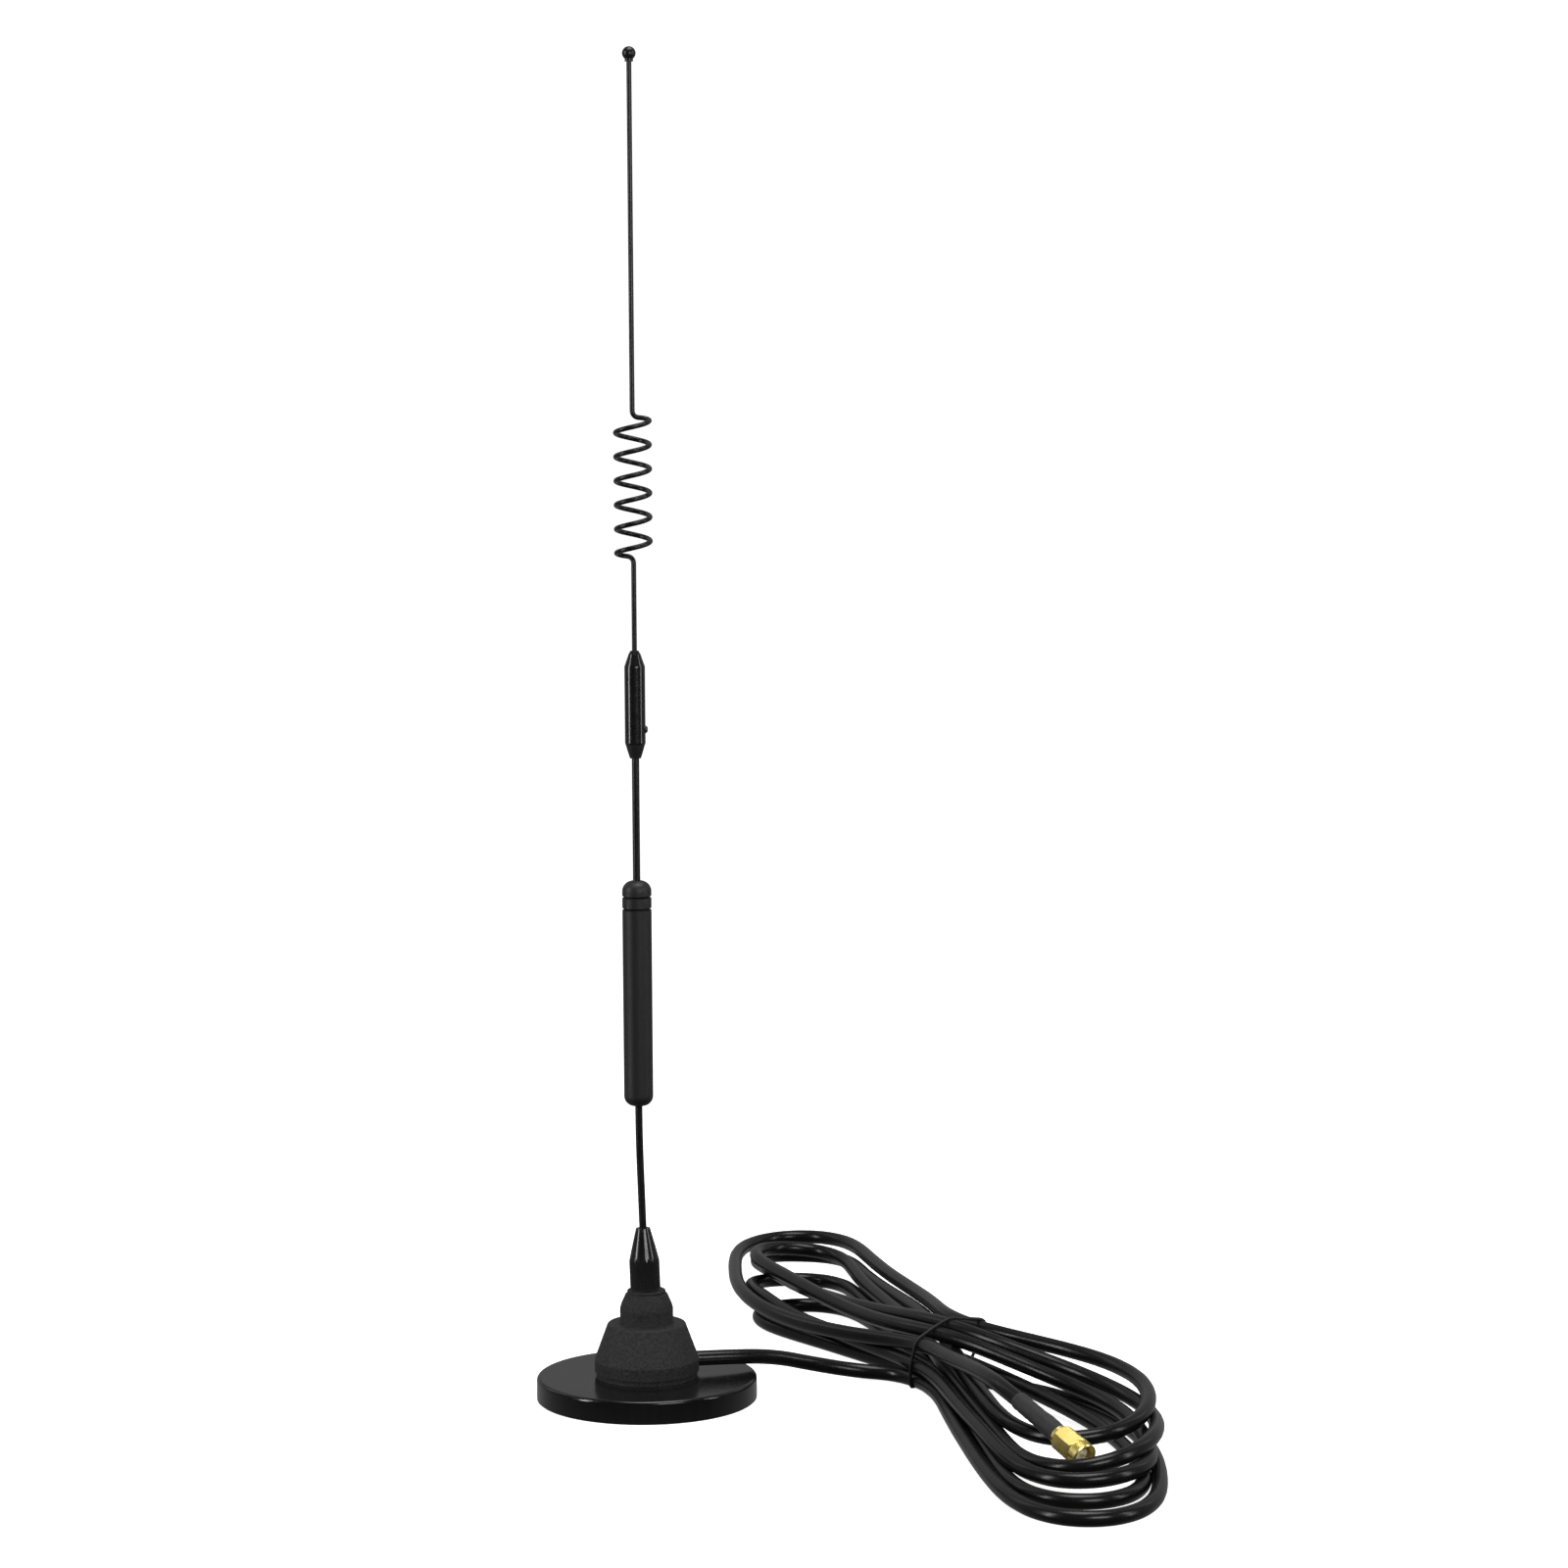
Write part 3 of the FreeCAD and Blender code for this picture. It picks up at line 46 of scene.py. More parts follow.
cam.location = (0.0455, -1.3194, 0.3356)
look = Matrix.Rotation(math.radians(90.0 - 5.796), 4, "X")
roll = Matrix.Rotation(math.radians(-0.2), 4, "Z")
cam.matrix_world = Matrix.Translation(cam.location) @ look @ roll
bpy.context.scene.camera = cam

# ---------------------------------------------------------------- helpers


def link(obj):
    bpy.context.scene.collection.objects.link(obj)
    return obj


def material(name, color, rough=0.4, metallic=0.0, spec=0.5, coat=0.0, coat_rough=0.1, sheen=0.0):
    """A principled material with its uniform values on the shader's own sockets."""
    m = bpy.data.materials.new(name)
    m.use_nodes = True
    nt = m.node_tree
    b = nt.nodes["Principled BSDF"]
    b.inputs["Base Color"].default_value = (*color, 1.0)
    b.inputs["Roughness"].default_value = rough
    b.inputs["Metallic"].default_value = metallic
    b.inputs["Specular IOR Level"].default_value = spec
    b.inputs["Coat Weight"].default_value = coat
    b.inputs["Coat Roughness"].default_value = coat_rough
    b.inputs["Sheen Weight"].default_value = sheen
    return m


def coords(m, scale=(1.0, 1.0, 1.0)):
    nt = m.node_tree
    tc = nt.nodes.new("ShaderNodeTexCoord")
    mp = nt.nodes.new("ShaderNodeMapping")
    mp.inputs["Scale"].default_value = scale
    nt.links.new(tc.outputs["Object"], mp.inputs["Vector"])
    return mp.outputs["Vector"]


def noise(m, scale, detail=4.0, rough=0.5, stretch=(1.0, 1.0, 1.0)):
    nt = m.node_tree
    n = nt.nodes.new("ShaderNodeTexNoise")
    n.inputs["Scale"].default_value = scale
    n.inputs["Detail"].default_value = detail
    n.inputs["Roughness"].default_value = rough
    nt.links.new(coords(m, stretch), n.inputs["Vector"])
    return n.outputs["Fac"]


def ramp(m, fac, lo, hi, a, b):
    """A linear map of fac from a..b to lo..hi, clamped."""
    nt = m.node_tree
    r = nt.nodes.new("ShaderNodeMapRange")
    r.inputs["From Min"].default_value = a
    r.inputs["From Max"].default_value = b
    r.inputs["To Min"].default_value = lo
    r.inputs["To Max"].default_value = hi
    nt.links.new(fac, r.inputs["Value"])
    return r.outputs["Result"]


def to_rough(m, fac, lo, hi, a=0.3, b=0.7):
    m.node_tree.links.new(ramp(m, fac, lo, hi, a, b), m.node_tree.nodes["Principled BSDF"].inputs["Roughness"])


def to_color(m, fac, dark, light, a=0.3, b=0.7):
    nt = m.node_tree
    c = nt.nodes.new("ShaderNodeValToRGB")
    c.color_ramp.elements[0].position = a
    c.color_ramp.elements[1].position = b
    c.color_ramp.elements[0].color = (*dark, 1.0)
    c.color_ramp.elements[1].color = (*light, 1.0)
    nt.links.new(fac, c.inputs["Fac"])
    nt.links.new(c.outputs["Color"], nt.nodes["Principled BSDF"].inputs["Base Color"])


def to_bump(m, fac, strength, distance, below=None):
    nt = m.node_tree
    b = nt.nodes.new("ShaderNodeBump")
    b.inputs["Strength"].default_value = strength
    b.inputs["Distance"].default_value = distance
    nt.links.new(fac, b.inputs["Height"])
    if below is not None:
        nt.links.new(below, b.inputs["Normal"])
    nt.links.new(b.outputs["Normal"], nt.nodes["Principled BSDF"].inputs["Normal"])
    return b.outputs["Normal"]


def painted_edge_highlight(m, amount, light):
    """Painted highlight: the convex edges of the shape a little lighter, from Geometry's Pointiness."""
    nt = m.node_tree
    g = nt.nodes.new("ShaderNodeNewGeometry")
    f = ramp(m, g.outputs["Pointiness"], 0.0, amount, 0.52, 0.60)
    mix = nt.nodes.new("ShaderNodeMixRGB")
    bsdf = nt.nodes["Principled BSDF"]
    src = bsdf.inputs["Base Color"]
    if src.links:
        nt.links.new(src.links[0].from_socket, mix.inputs["Color1"])
    else:
        mix.inputs["Color1"].default_value = src.default_value
    mix.inputs["Color2"].default_value = (*light, 1.0)
    nt.links.new(f, mix.inputs["Fac"])
    nt.links.new(mix.outputs["Color"], bsdf.inputs["Base Color"])


def node_object(name):
    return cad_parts[name]


def paint(mat, *names):
    for n in names:
        o = node_object(n)
        o.data.materials.clear()
        o.data.materials.append(mat)


# ---------------------------------------------------------------- the lead, one spline
LEAD = [
    (0.0100, 0.00213, 0.0122), (0.0261, 0.00555, 0.0122), (0.0416, 0.0124, 0.0106),
    (0.0548, 0.0194, 0.0062), (0.0685, 0.0226, 0.0031), (0.0813, 0.0206, 0.0026),
]
COIL = [
    (0.0896, 0.0111, 0.0025), (0.0938, -0.0011, 0.0025), (0.0960, -0.0141, 0.0025),
    (0.0972, -0.0274, 0.0025), (0.0985, -0.0407, 0.0025), (0.0999, -0.0541, 0.0025),
    (0.1015, -0.0675, 0.0025), (0.1031, -0.0811, 0.0025), (0.1049, -0.0946, 0.0025),
    (0.1069, -0.1080, 0.0025), (0.1093, -0.1211, 0.0025), (0.1127, -0.1337, 0.0025),
    (0.1181, -0.1450, 0.0025), (0.1271, -0.1528, 0.0025), (0.1387, -0.1532, 0.0025),
    (0.1482, -0.1463, 0.0025), (0.1538, -0.1352, 0.0025), (0.1566, -0.1225, 0.0025),
    (0.1579, -0.1093, 0.0025), (0.1586, -0.0958, 0.0025), (0.1584, -0.0822, 0.0025),
    (0.1573, -0.0687, 0.0025), (0.1549, -0.0554, 0.0025), (0.1512, -0.0426, 0.0025),
    (0.1462, -0.0303, 0.0025), (0.1398, -0.0187, 0.0025), (0.1319, -0.0083, 0.0025),
    (0.1225, 0.0009, 0.0025), (0.1124, 0.0094, 0.0025), (0.1028, 0.0187, 0.0025),
    (0.0953, 0.0305, 0.0026), (0.0900, 0.0441, 0.0026), (0.0860, 0.0582, 0.0026),
    (0.0823, 0.0721, 0.0025), (0.0785, 0.0850, 0.0025), (0.0747, 0.0971, 0.0025),
    (0.0705, 0.1082, 0.0025), (0.0643, 0.1175, 0.0025), (0.0553, 0.1222, 0.0025),
    (0.0457, 0.1206, 0.0025), (0.0380, 0.1144, 0.0025), (0.0355, 0.1044, 0.0025),
    (0.0385, 0.0935, 0.0025), (0.0449, 0.0831, 0.0025), (0.0527, 0.0728, 0.0025),
    (0.0610, 0.0619, 0.0025), (0.0693, 0.0504, 0.0025), (0.0775, 0.0386, 0.0027),
    (0.0855, 0.0268, 0.0032), (0.0926, 0.0149, 0.0038), (0.0976, 0.0025, 0.0040),
    (0.1004, -0.0105, 0.0037), (0.1018, -0.0237, 0.0033), (0.1030, -0.0369, 0.0031),
    (0.1044, -0.0501, 0.0030), (0.1059, -0.0634, 0.0028), (0.1076, -0.0767, 0.0026),
    (0.1092, -0.0900, 0.0025), (0.1109, -0.1031, 0.0025), (0.1133, -0.1158, 0.0025),
    (0.1180, -0.1271, 0.0025), (0.1269, -0.1347, 0.0025), (0.1381, -0.1351, 0.0025),
    (0.1475, -0.1283, 0.0025), (0.1523, -0.1172, 0.0025), (0.1534, -0.1045, 0.0025),
    (0.1528, -0.0914, 0.0025), (0.1511, -0.0782, 0.0025), (0.1485, -0.0650, 0.0026),
    (0.1447, -0.0522, 0.0029), (0.1395, -0.0400, 0.0035), (0.1329, -0.0285, 0.0046),
    (0.1256, -0.0175, 0.0058), (0.1182, -0.0065, 0.0069), (0.1112, 0.0048, 0.0075),
    (0.1049, 0.0167, 0.0075), (0.0996, 0.0294, 0.0068), (0.0950, 0.0429, 0.0059),
    (0.0909, 0.0568, 0.0050), (0.0870, 0.0709, 0.0045), (0.0832, 0.0849, 0.0042),
    (0.0793, 0.0986, 0.0041), (0.0758, 0.1118, 0.0040), (0.0727, 0.1245, 0.0040),
    (0.0700, 0.1368, 0.0038), (0.0664, 0.1481, 0.0036), (0.0597, 0.1565, 0.0034),
    (0.0498, 0.1591, 0.0035), (0.0401, 0.1562, 0.0039), (0.0339, 0.1479, 0.0048),
    (0.0328, 0.1365, 0.0059), (0.0350, 0.1245, 0.0068), (0.0386, 0.1121, 0.0072),
    (0.0432, 0.0994, 0.0069), (0.0486, 0.0865, 0.0067), (0.0548, 0.0737, 0.0069),
    (0.0616, 0.0611, 0.0073), (0.0688, 0.0487, 0.0073), (0.0759, 0.0365, 0.0074),
    (0.0828, 0.0245, 0.0075), (0.0887, 0.0124, 0.0077), (0.0931, -0.0002, 0.0078),
    (0.0960, -0.0131, 0.0077), (0.0981, -0.0262, 0.0077), (0.1003, -0.0393, 0.0076),
    (0.1026, -0.0524, 0.0076), (0.1051, -0.0656, 0.0076), (0.1075, -0.0787, 0.0075),
    (0.1101, -0.0918, 0.0072), (0.1132, -0.1046, 0.0067), (0.1182, -0.1163, 0.0061),
    (0.1268, -0.1248, 0.0060), (0.1384, -0.1263, 0.0065), (0.1485, -0.1203, 0.0071),
    (0.1542, -0.1094, 0.0071), (0.1562, -0.0966, 0.0067), (0.1562, -0.0833, 0.0067),
    (0.1553, -0.0700, 0.0068), (0.1535, -0.0568, 0.0070), (0.1504, -0.0439, 0.0072),
    (0.1452, -0.0318, 0.0076), (0.1376, -0.0213, 0.0088), (0.1281, -0.0126, 0.0110),
    (0.1177, -0.0053, 0.0138), (0.1074, 0.0024, 0.0164), (0.0979, 0.0114, 0.0177),
    (0.0899, 0.0221, 0.0172), (0.0831, 0.0340, 0.0160), (0.0769, 0.0466, 0.0147),
    (0.0708, 0.0598, 0.0138), (0.0648, 0.0731, 0.0134), (0.0589, 0.0865, 0.0134),
    (0.0533, 0.0999, 0.0135), (0.0482, 0.1130, 0.0135), (0.0433, 0.1257, 0.0134),
    (0.0388, 0.1379, 0.0132), (0.0352, 0.1497, 0.0132), (0.0346, 0.1609, 0.0132),
    (0.0391, 0.1697, 0.0127), (0.0473, 0.1740, 0.0119), (0.0565, 0.1737, 0.0110),
    (0.0642, 0.1678, 0.0102), (0.0684, 0.1575, 0.0097), (0.0704, 0.1455, 0.0094),
    (0.0726, 0.1328, 0.0091), (0.0754, 0.1197, 0.0089), (0.0787, 0.1060, 0.0089),
    (0.0821, 0.0918, 0.0090), (0.0854, 0.0773, 0.0093), (0.0884, 0.0626, 0.0095),
    (0.0909, 0.0480, 0.0097), (0.0932, 0.0337, 0.0096), (0.0954, 0.0198, 0.0094),
    (0.0977, 0.0063, 0.0090), (0.0998, -0.0069, 0.0087), (0.1019, -0.0201, 0.0083),
    (0.1041, -0.0333, 0.0079), (0.1063, -0.0464, 0.0074), (0.1087, -0.0596, 0.0069),
    (0.1111, -0.0728, 0.0065), (0.1135, -0.0860, 0.0062), (0.1167, -0.0988, 0.0061),
    (0.1226, -0.1102, 0.0066), (0.1322, -0.1177, 0.0078), (0.1439, -0.1163, 0.0098),
    (0.1524, -0.1074, 0.0113), (0.1571, -0.0952, 0.0115), (0.1594, -0.0821, 0.0106),
    (0.1604, -0.0688, 0.0093), (0.1601, -0.0555, 0.0083), (0.1581, -0.0425, 0.0080),
    (0.1535, -0.0302, 0.0084), (0.1462, -0.0195, 0.0097), (0.1366, -0.0111, 0.0119),
    (0.1258, -0.0044, 0.0146), (0.1150, 0.0023, 0.0172), (0.1052, 0.0105, 0.0191),
    (0.0971, 0.0206, 0.0196), (0.0906, 0.0321, 0.0187), (0.0848, 0.0441, 0.0170),
    (0.0789, 0.0562, 0.0152), (0.0727, 0.0684, 0.0138), (0.0665, 0.0808, 0.0126),
    (0.0605, 0.0933, 0.0116), (0.0548, 0.1060, 0.0108), (0.0495, 0.1189, 0.0104),
    (0.0448, 0.1319, 0.0101), (0.0408, 0.1448, 0.0096), (0.0373, 0.1575, 0.0087),
    (0.0349, 0.1699, 0.0075), (0.0351, 0.1818, 0.0063), (0.0403, 0.1911, 0.0053),
    (0.0498, 0.1949, 0.0046), (0.0599, 0.1935, 0.0044), (0.0673, 0.1857, 0.0047),
    (0.0708, 0.1743, 0.0053), (0.0728, 0.1618, 0.0061), (0.0749, 0.1488, 0.0068),
    (0.0775, 0.1355, 0.0075), (0.0805, 0.1220, 0.0082), (0.0838, 0.1084, 0.0090),
    (0.0870, 0.0947, 0.0099), (0.0900, 0.0809, 0.0108), (0.0927, 0.0670, 0.0116),
    (0.0950, 0.0532, 0.0123), (0.0971, 0.0396, 0.0127), (0.0990, 0.0261, 0.0127),
    (0.1006, 0.0128, 0.0124), (0.1020, -0.0003, 0.0125), (0.1033, -0.0134, 0.0128),
    (0.1047, -0.0264, 0.0128), (0.1065, -0.0393, 0.0125), (0.1087, -0.0521, 0.0119),
    (0.1114, -0.0647, 0.0111), (0.1155, -0.0766, 0.0102), (0.1224, -0.0868, 0.0096),
    (0.1329, -0.0921, 0.0098), (0.1442, -0.0899, 0.0109), (0.1525, -0.0812, 0.0121),
    (0.1571, -0.0696, 0.0130), (0.1592, -0.0571, 0.0133), (0.1597, -0.0442, 0.0133),
    (0.1583, -0.0314, 0.0134), (0.1547, -0.0192, 0.0135), (0.1485, -0.0081, 0.0139),
    (0.1397, 0.0010, 0.0146), (0.1294, 0.0083, 0.0156), (0.1188, 0.0150, 0.0167),
    (0.1094, 0.0232, 0.0174), (0.1028, 0.0339, 0.0175), (0.0992, 0.0460, 0.0169),
    (0.0972, 0.0587, 0.0160), (0.0954, 0.0714, 0.0150), (0.0932, 0.0843, 0.0140),
    (0.0906, 0.0971, 0.0131), (0.0877, 0.1101, 0.0124), (0.0847, 0.1231, 0.0117),
    (0.0818, 0.1363, 0.0111), (0.0791, 0.1495, 0.0106), (0.0766, 0.1628, 0.0101),
    (0.0742, 0.1759, 0.0097), (0.0713, 0.1887, 0.0093), (0.0665, 0.2005, 0.0089),
    (0.0581, 0.2091, 0.0085), (0.0466, 0.2111, 0.0082), (0.0363, 0.2055, 0.0080),
    (0.0302, 0.1949, 0.0080), (0.0276, 0.1823, 0.0081), (0.0269, 0.1690, 0.0082),
    (0.0270, 0.1555, 0.0084), (0.0274, 0.1420, 0.0085), (0.0284, 0.1285, 0.0087),
    (0.0303, 0.1152, 0.0089), (0.0333, 0.1021, 0.0090), (0.0376, 0.0896, 0.0090),
    (0.0431, 0.0777, 0.0091), (0.0495, 0.0663, 0.0094), (0.0568, 0.0556, 0.0100),
    (0.0646, 0.0454, 0.0107), (0.0729, 0.0357, 0.0116), (0.0812, 0.0261, 0.0127),
    (0.0885, 0.0158, 0.0139),
]
TAIL = [
    (0.0936, 0.0040, 0.0153), (0.0976, -0.0135, 0.0166), (0.1026, -0.0340, 0.0189),
    (0.1072, -0.0545, 0.0212), (0.11304, -0.07541, 0.02163), (0.12418, -0.09242, 0.01531),
]
ROUTE = LEAD + COIL + TAIL
CABLE = 0.00495

curve = bpy.data.curves.new("lead_cable", "CURVE")
curve.dimensions = "3D"
spline = curve.splines.new("NURBS")
spline.points.add(len(ROUTE) - 1)
# a curve's box is grown by its points' radius, so the half diameter is kept there
for p, q in zip(spline.points, ROUTE):
    p.co = (*q, 1.0)
    p.radius = CABLE / 2
spline.order_u = 3
spline.use_endpoint_u = True
spline.resolution_u = 8
curve.resolution_u = 8
curve.bevel_depth = 1.0
curve.bevel_resolution = 8
curve.use_fill_caps = True
cable = link(bpy.data.objects.new("lead_cable", curve))
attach(cable, "base")
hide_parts("cable_lead", "cable_tail", "cable_hank")

# ---------------------------------------------------------------- tie and heat-shrink sleeve
TIE_AT = Vector((0.0983, 0.0168, 0.0109))
ALONG = Vector((0.55, -0.835, 0.0)).normalized()
SIDE = Vector((0.835, 0.55, 0.0)).normalized()
UP = Vector((0.0, 0.0, 1.0))


def tube_mesh(name, centres, radii, sides=32, closed=False, squash_to=None):
    """A tube of rings round a line of centres. radii are pairs of half widths, across and up."""
    bm = bmesh.new()
    rings = []
    n = len(centres)
    for i, c in enumerate(centres):
        before = centres[i - 1] if i or closed else c
        after = centres[(i + 1) % n] if i < n - 1 or closed else c
        t = (after - before).normalized()
        ref = squash_to[i] if squash_to else UP
        a = t.cross(ref).normalized()
        b = a.cross(t).normalized()
        ra, rb = radii[i] if isinstance(radii[i], tuple) else (radii[i], radii[i])
        rings.append([bm.verts.new(c + a * (ra * math.cos(2 * math.pi * k / sides)) + b * (rb * math.sin(2 * math.pi * k / sides))) for k in range(sides)])
    for i in range(n if closed else n - 1):
        lo, hi = rings[i], rings[(i + 1) % n]
        for k in range(sides):
            bm.faces.new((lo[k], lo[(k + 1) % sides], hi[(k + 1) % sides], hi[k]))
    if not closed:
        bm.faces.new(list(reversed(rings[0])))
        bm.faces.new(rings[-1])
    bmesh.ops.recalc_face_normals(bm, faces=bm.faces)
    me = bpy.data.meshes.new(name)
    bm.to_mesh(me)
    bm.free()
    for f in me.polygons:
        f.use_smooth = True
    return link(bpy.data.objects.new(name, me))


# the tie is pulled tight round the strands that pass its plane, so it follows their outer hull
def hull_round(points, reach, steps=128):
    """The outline of a band stretched round discs of radius reach."""
    support = []
    for k in range(steps):
        a = 2 * math.pi * k / steps
        d = (math.cos(a), math.sin(a))
        best = max(points, key=lambda p: p[0] * d[0] + p[1] * d[1])
        support.append((best[0] + d[0] * reach, best[1] + d[1] * reach))
    return support


# ---------------------------------------------------------------- end of geometry helpers


def route_points(ctrl, per=12):
    """Points on the quadratic spline with clamped ends that the cable follows."""
    out = []
    n = len(ctrl)
    for i in range(n - 2):
        a = ctrl[i] if i == 0 else (ctrl[i] + ctrl[i + 1]) / 2
        c = ctrl[i + 2] if i == n - 3 else (ctrl[i + 1] + ctrl[i + 2]) / 2
        b = ctrl[i + 1]
        for k in range(per):
            t = k / per
            out.append(a * (1 - t) ** 2 + b * (2 * t * (1 - t)) + c * t * t)
    out.append(ctrl[-1])
    return out


LINE = route_points([Vector(p) for p in ROUTE])

crossings = []
for p, q in zip(LINE, LINE[1:]):
    s0, s1 = (p - TIE_AT).dot(ALONG), (q - TIE_AT).dot(ALONG)
    if s0 * s1 <= 0 and s0 != s1:
        x = p.lerp(q, s0 / (s0 - s1))
        if (x - TIE_AT).length < 0.016:
            crossings.append(((x - TIE_AT).dot(SIDE), x.z))
WIRE = 0.00050
outline = hull_round(crossings, CABLE / 2 + WIRE * 0.7, 144)
# even steps round the band, and rounded where it leaves one strand for the next
ring = [TIE_AT * 1.0 + SIDE * h + UP * (z - TIE_AT.z) for h, z in outline]
lengths = [0.0]
for i in range(len(ring)):
    lengths.append(lengths[-1] + (ring[(i + 1) % len(ring)] - ring[i]).length)
even = []
steps = 120
for k in range(steps):
    want = lengths[-1] * k / steps
    i = max(j for j in range(len(ring)) if lengths[j] <= want)
    span = max(lengths[i + 1] - lengths[i], 1e-9)
    even.append(ring[i].lerp(ring[(i + 1) % len(ring)], (want - lengths[i]) / span))
for _ in range(2):
    even = [(even[i - 1] + even[i] * 2 + even[(i + 1) % steps]) / 4 for i in range(steps)]
# the wire runs slightly askew, as a hand-twisted tie does
even = [p + ALONG * (0.0011 * math.sin(2 * math.pi * i / steps + 0.6)) for i, p in enumerate(even)]
# and it lies on the floor under the bundle, not in it
even = [Vector((p.x, p.y, max(p.z, 0.00065))) for p in even]
tie = tube_mesh("twist_tie", even, [(WIRE * 1.25, WIRE * 0.8)] * steps, sides=16, closed=True, squash_to=[ALONG] * steps)
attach(tie, "base")
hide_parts("cable_tie")

# its two ends, twisted together behind the bundle
back = max(even, key=lambda p: (p - TIE_AT).dot(SIDE))
ends = []
for side in (0.0, math.pi):
    pts = []
    for k in range(61):
        t = k / 60
        turn = side + 2 * math.pi * 3.5 * t
        open_ = WIRE * (0.95 + 0.9 * max(0.0, t - 0.8) * 5)
        core = back + SIDE * (0.0009 + 0.0008 * t) - ALONG * 0.0095 * t + UP * (0.0004 - 0.0035 * t)
        pts.append(core + SIDE * (open_ * math.cos(turn)) + UP * (open_ * math.sin(turn)))
    ends.append(tube_mesh("tie_end_%d" % len(ends), pts, [WIRE * 0.9] * 61, sides=12, squash_to=[UP] * 61))
for e in ends:
    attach(e, "base")

# heat-shrink sleeve: follows the cable out of the coil, then the connector's axis
PLUG = Vector((0.1167, -0.0810, 0.01955))
AIM = Vector((0.5224, -0.7977, -0.2963)).normalized()
tail_line = [p for p in LINE[-60:] if (p - PLUG).dot(AIM) > -0.0035]
centres, radii = [], []
for k in range(97):
    s = 0.022 * k / 96
    if s < 0.0139:
        c = min(tail_line, key=lambda p: abs((p - PLUG).dot(AIM) - s))
        i = tail_line.index(c)
        j = i + 1 if (c - PLUG).dot(AIM) < s and i + 1 < len(tail_line) else max(i - 1, 0)
        o = tail_line[j]
        sa, sb = (c - PLUG).dot(AIM), (o - PLUG).dot(AIM)
        c = c.lerp(o, (s - sa) / (sb - sa)) if abs(sb - sa) > 1e-9 else c
    else:
        c = PLUG + AIM * s
    # shrunk on to the cable behind, and over the crimp in front
    f = min(1.0, max(0.0, (s - 0.0118) / 0.0032))
    f = f * f * (3 - 2 * f)
    r = 0.00284 + 0.00026 * f
    r += 0.00003 * math.sin(s * 2100.0) + 0.00002 * math.sin(s * 5200.0 + 1.3)
    lip = min(s, 0.022 - s)
    if lip < 0.0006:
        r -= 0.00022 * (1 - lip / 0.0006) ** 2
    centres.append(c)
    radii.append(r)
for _ in range(3):
    centres = [centres[0]] + [(centres[i - 1] + centres[i] * 2 + centres[i + 1]) / 4 for i in range(1, 96)] + [centres[96]]
bm = bmesh.new()
rings = []
for i, c in enumerate(centres):
    t = (centres[min(i + 1, 96)] - centres[max(i - 1, 0)]).normalized()
    a = t.cross(UP).normalized()
    b = a.cross(t).normalized()
    ring_ = []
    for k in range(56):
        ang = 2 * math.pi * k / 56
        rr = radii[i] * (1 + 0.006 * math.sin(3 * ang + i * 0.11) + 0.004 * math.sin(7 * ang - i * 0.17))
        ring_.append(bm.verts.new(c + a * (rr * math.cos(ang)) + b * (rr * math.sin(ang))))
    rings.append(ring_)
inner_rear, inner_front = [], []
for end, at, store in ((0, centres[0], inner_rear), (96, centres[96], inner_front)):
    t = AIM if end else (centres[1] - centres[0]).normalized()
    a = t.cross(UP).normalized()
    b = a.cross(t).normalized()
    for k in range(56):
        ang = 2 * math.pi * k / 56
        store.append(bm.verts.new(at + a * (0.00240 * math.cos(ang)) + b * (0.00240 * math.sin(ang))))
for i in range(96):
    for k in range(56):
        bm.faces.new((rings[i][k], rings[i][(k + 1) % 56], rings[i + 1][(k + 1) % 56], rings[i + 1][k]))
for k in range(56):
    bm.faces.new((inner_rear[k], inner_rear[(k + 1) % 56], rings[0][(k + 1) % 56], rings[0][k]))
    bm.faces.new((rings[96][k], rings[96][(k + 1) % 56], inner_front[(k + 1) % 56], inner_front[k]))
bm.faces.new(list(reversed(inner_rear)))
bm.faces.new(inner_front)
bmesh.ops.recalc_face_normals(bm, faces=bm.faces)
me = bpy.data.meshes.new("shrink_sleeve")
bm.to_mesh(me)
bm.free()
for f in me.polygons:
    f.use_smooth = len(f.vertices) == 4
shrink = link(bpy.data.objects.new("shrink_sleeve", me))
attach(shrink, "base")
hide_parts("heat_shrink")

# ---------------------------------------------------------------- materials
# jacket: smooth half-gloss PVC, with a faint drawn grain and slow waves from extrusion
jacket = material("jacket_pvc", (0.006, 0.006, 0.0064), rough=0.26, spec=0.3)
to_rough(jacket, noise(jacket, 900.0, 3.0), 0.22, 0.28)
fine = to_bump(jacket, noise(jacket, 2600.0, 2.0), 0.02, 0.00001)
to_bump(jacket, noise(jacket, 110.0, 2.0), 0.02, 0.00005, fine)
to_color(jacket, noise(jacket, 160.0, 3.0), (0.0045, 0.0045, 0.0048), (0.0085, 0.0085, 0.009))
curve.materials.append(jacket)

tie_mat = material("tie_coated_wire", (0.010, 0.010, 0.010), rough=0.45, spec=0.4)
to_rough(tie_mat, noise(tie_mat, 1500.0), 0.38, 0.55)
to_bump(tie_mat, noise(tie_mat, 2200.0), 0.3, 0.00005)
to_color(tie_mat, noise(tie_mat, 400.0), (0.008, 0.008, 0.008), (0.016, 0.016, 0.016))
for o in [tie] + ends:
    o.data.materials.append(tie_mat)

shrink_mat = material("shrink_polyolefin", (0.02, 0.02, 0.0215), rough=0.6, spec=0.4, sheen=0.1)
to_rough(shrink_mat, noise(shrink_mat, 1400.0), 0.55, 0.72)
b0 = to_bump(shrink_mat, noise(shrink_mat, 3000.0), 0.22, 0.00004)
to_bump(shrink_mat, noise(shrink_mat, 260.0, 2.0), 0.25, 0.00014, b0)
to_color(shrink_mat, noise(shrink_mat, 500.0), (0.016, 0.016, 0.0172), (0.026, 0.026, 0.0276))
shrink.data.materials.append(shrink_mat)
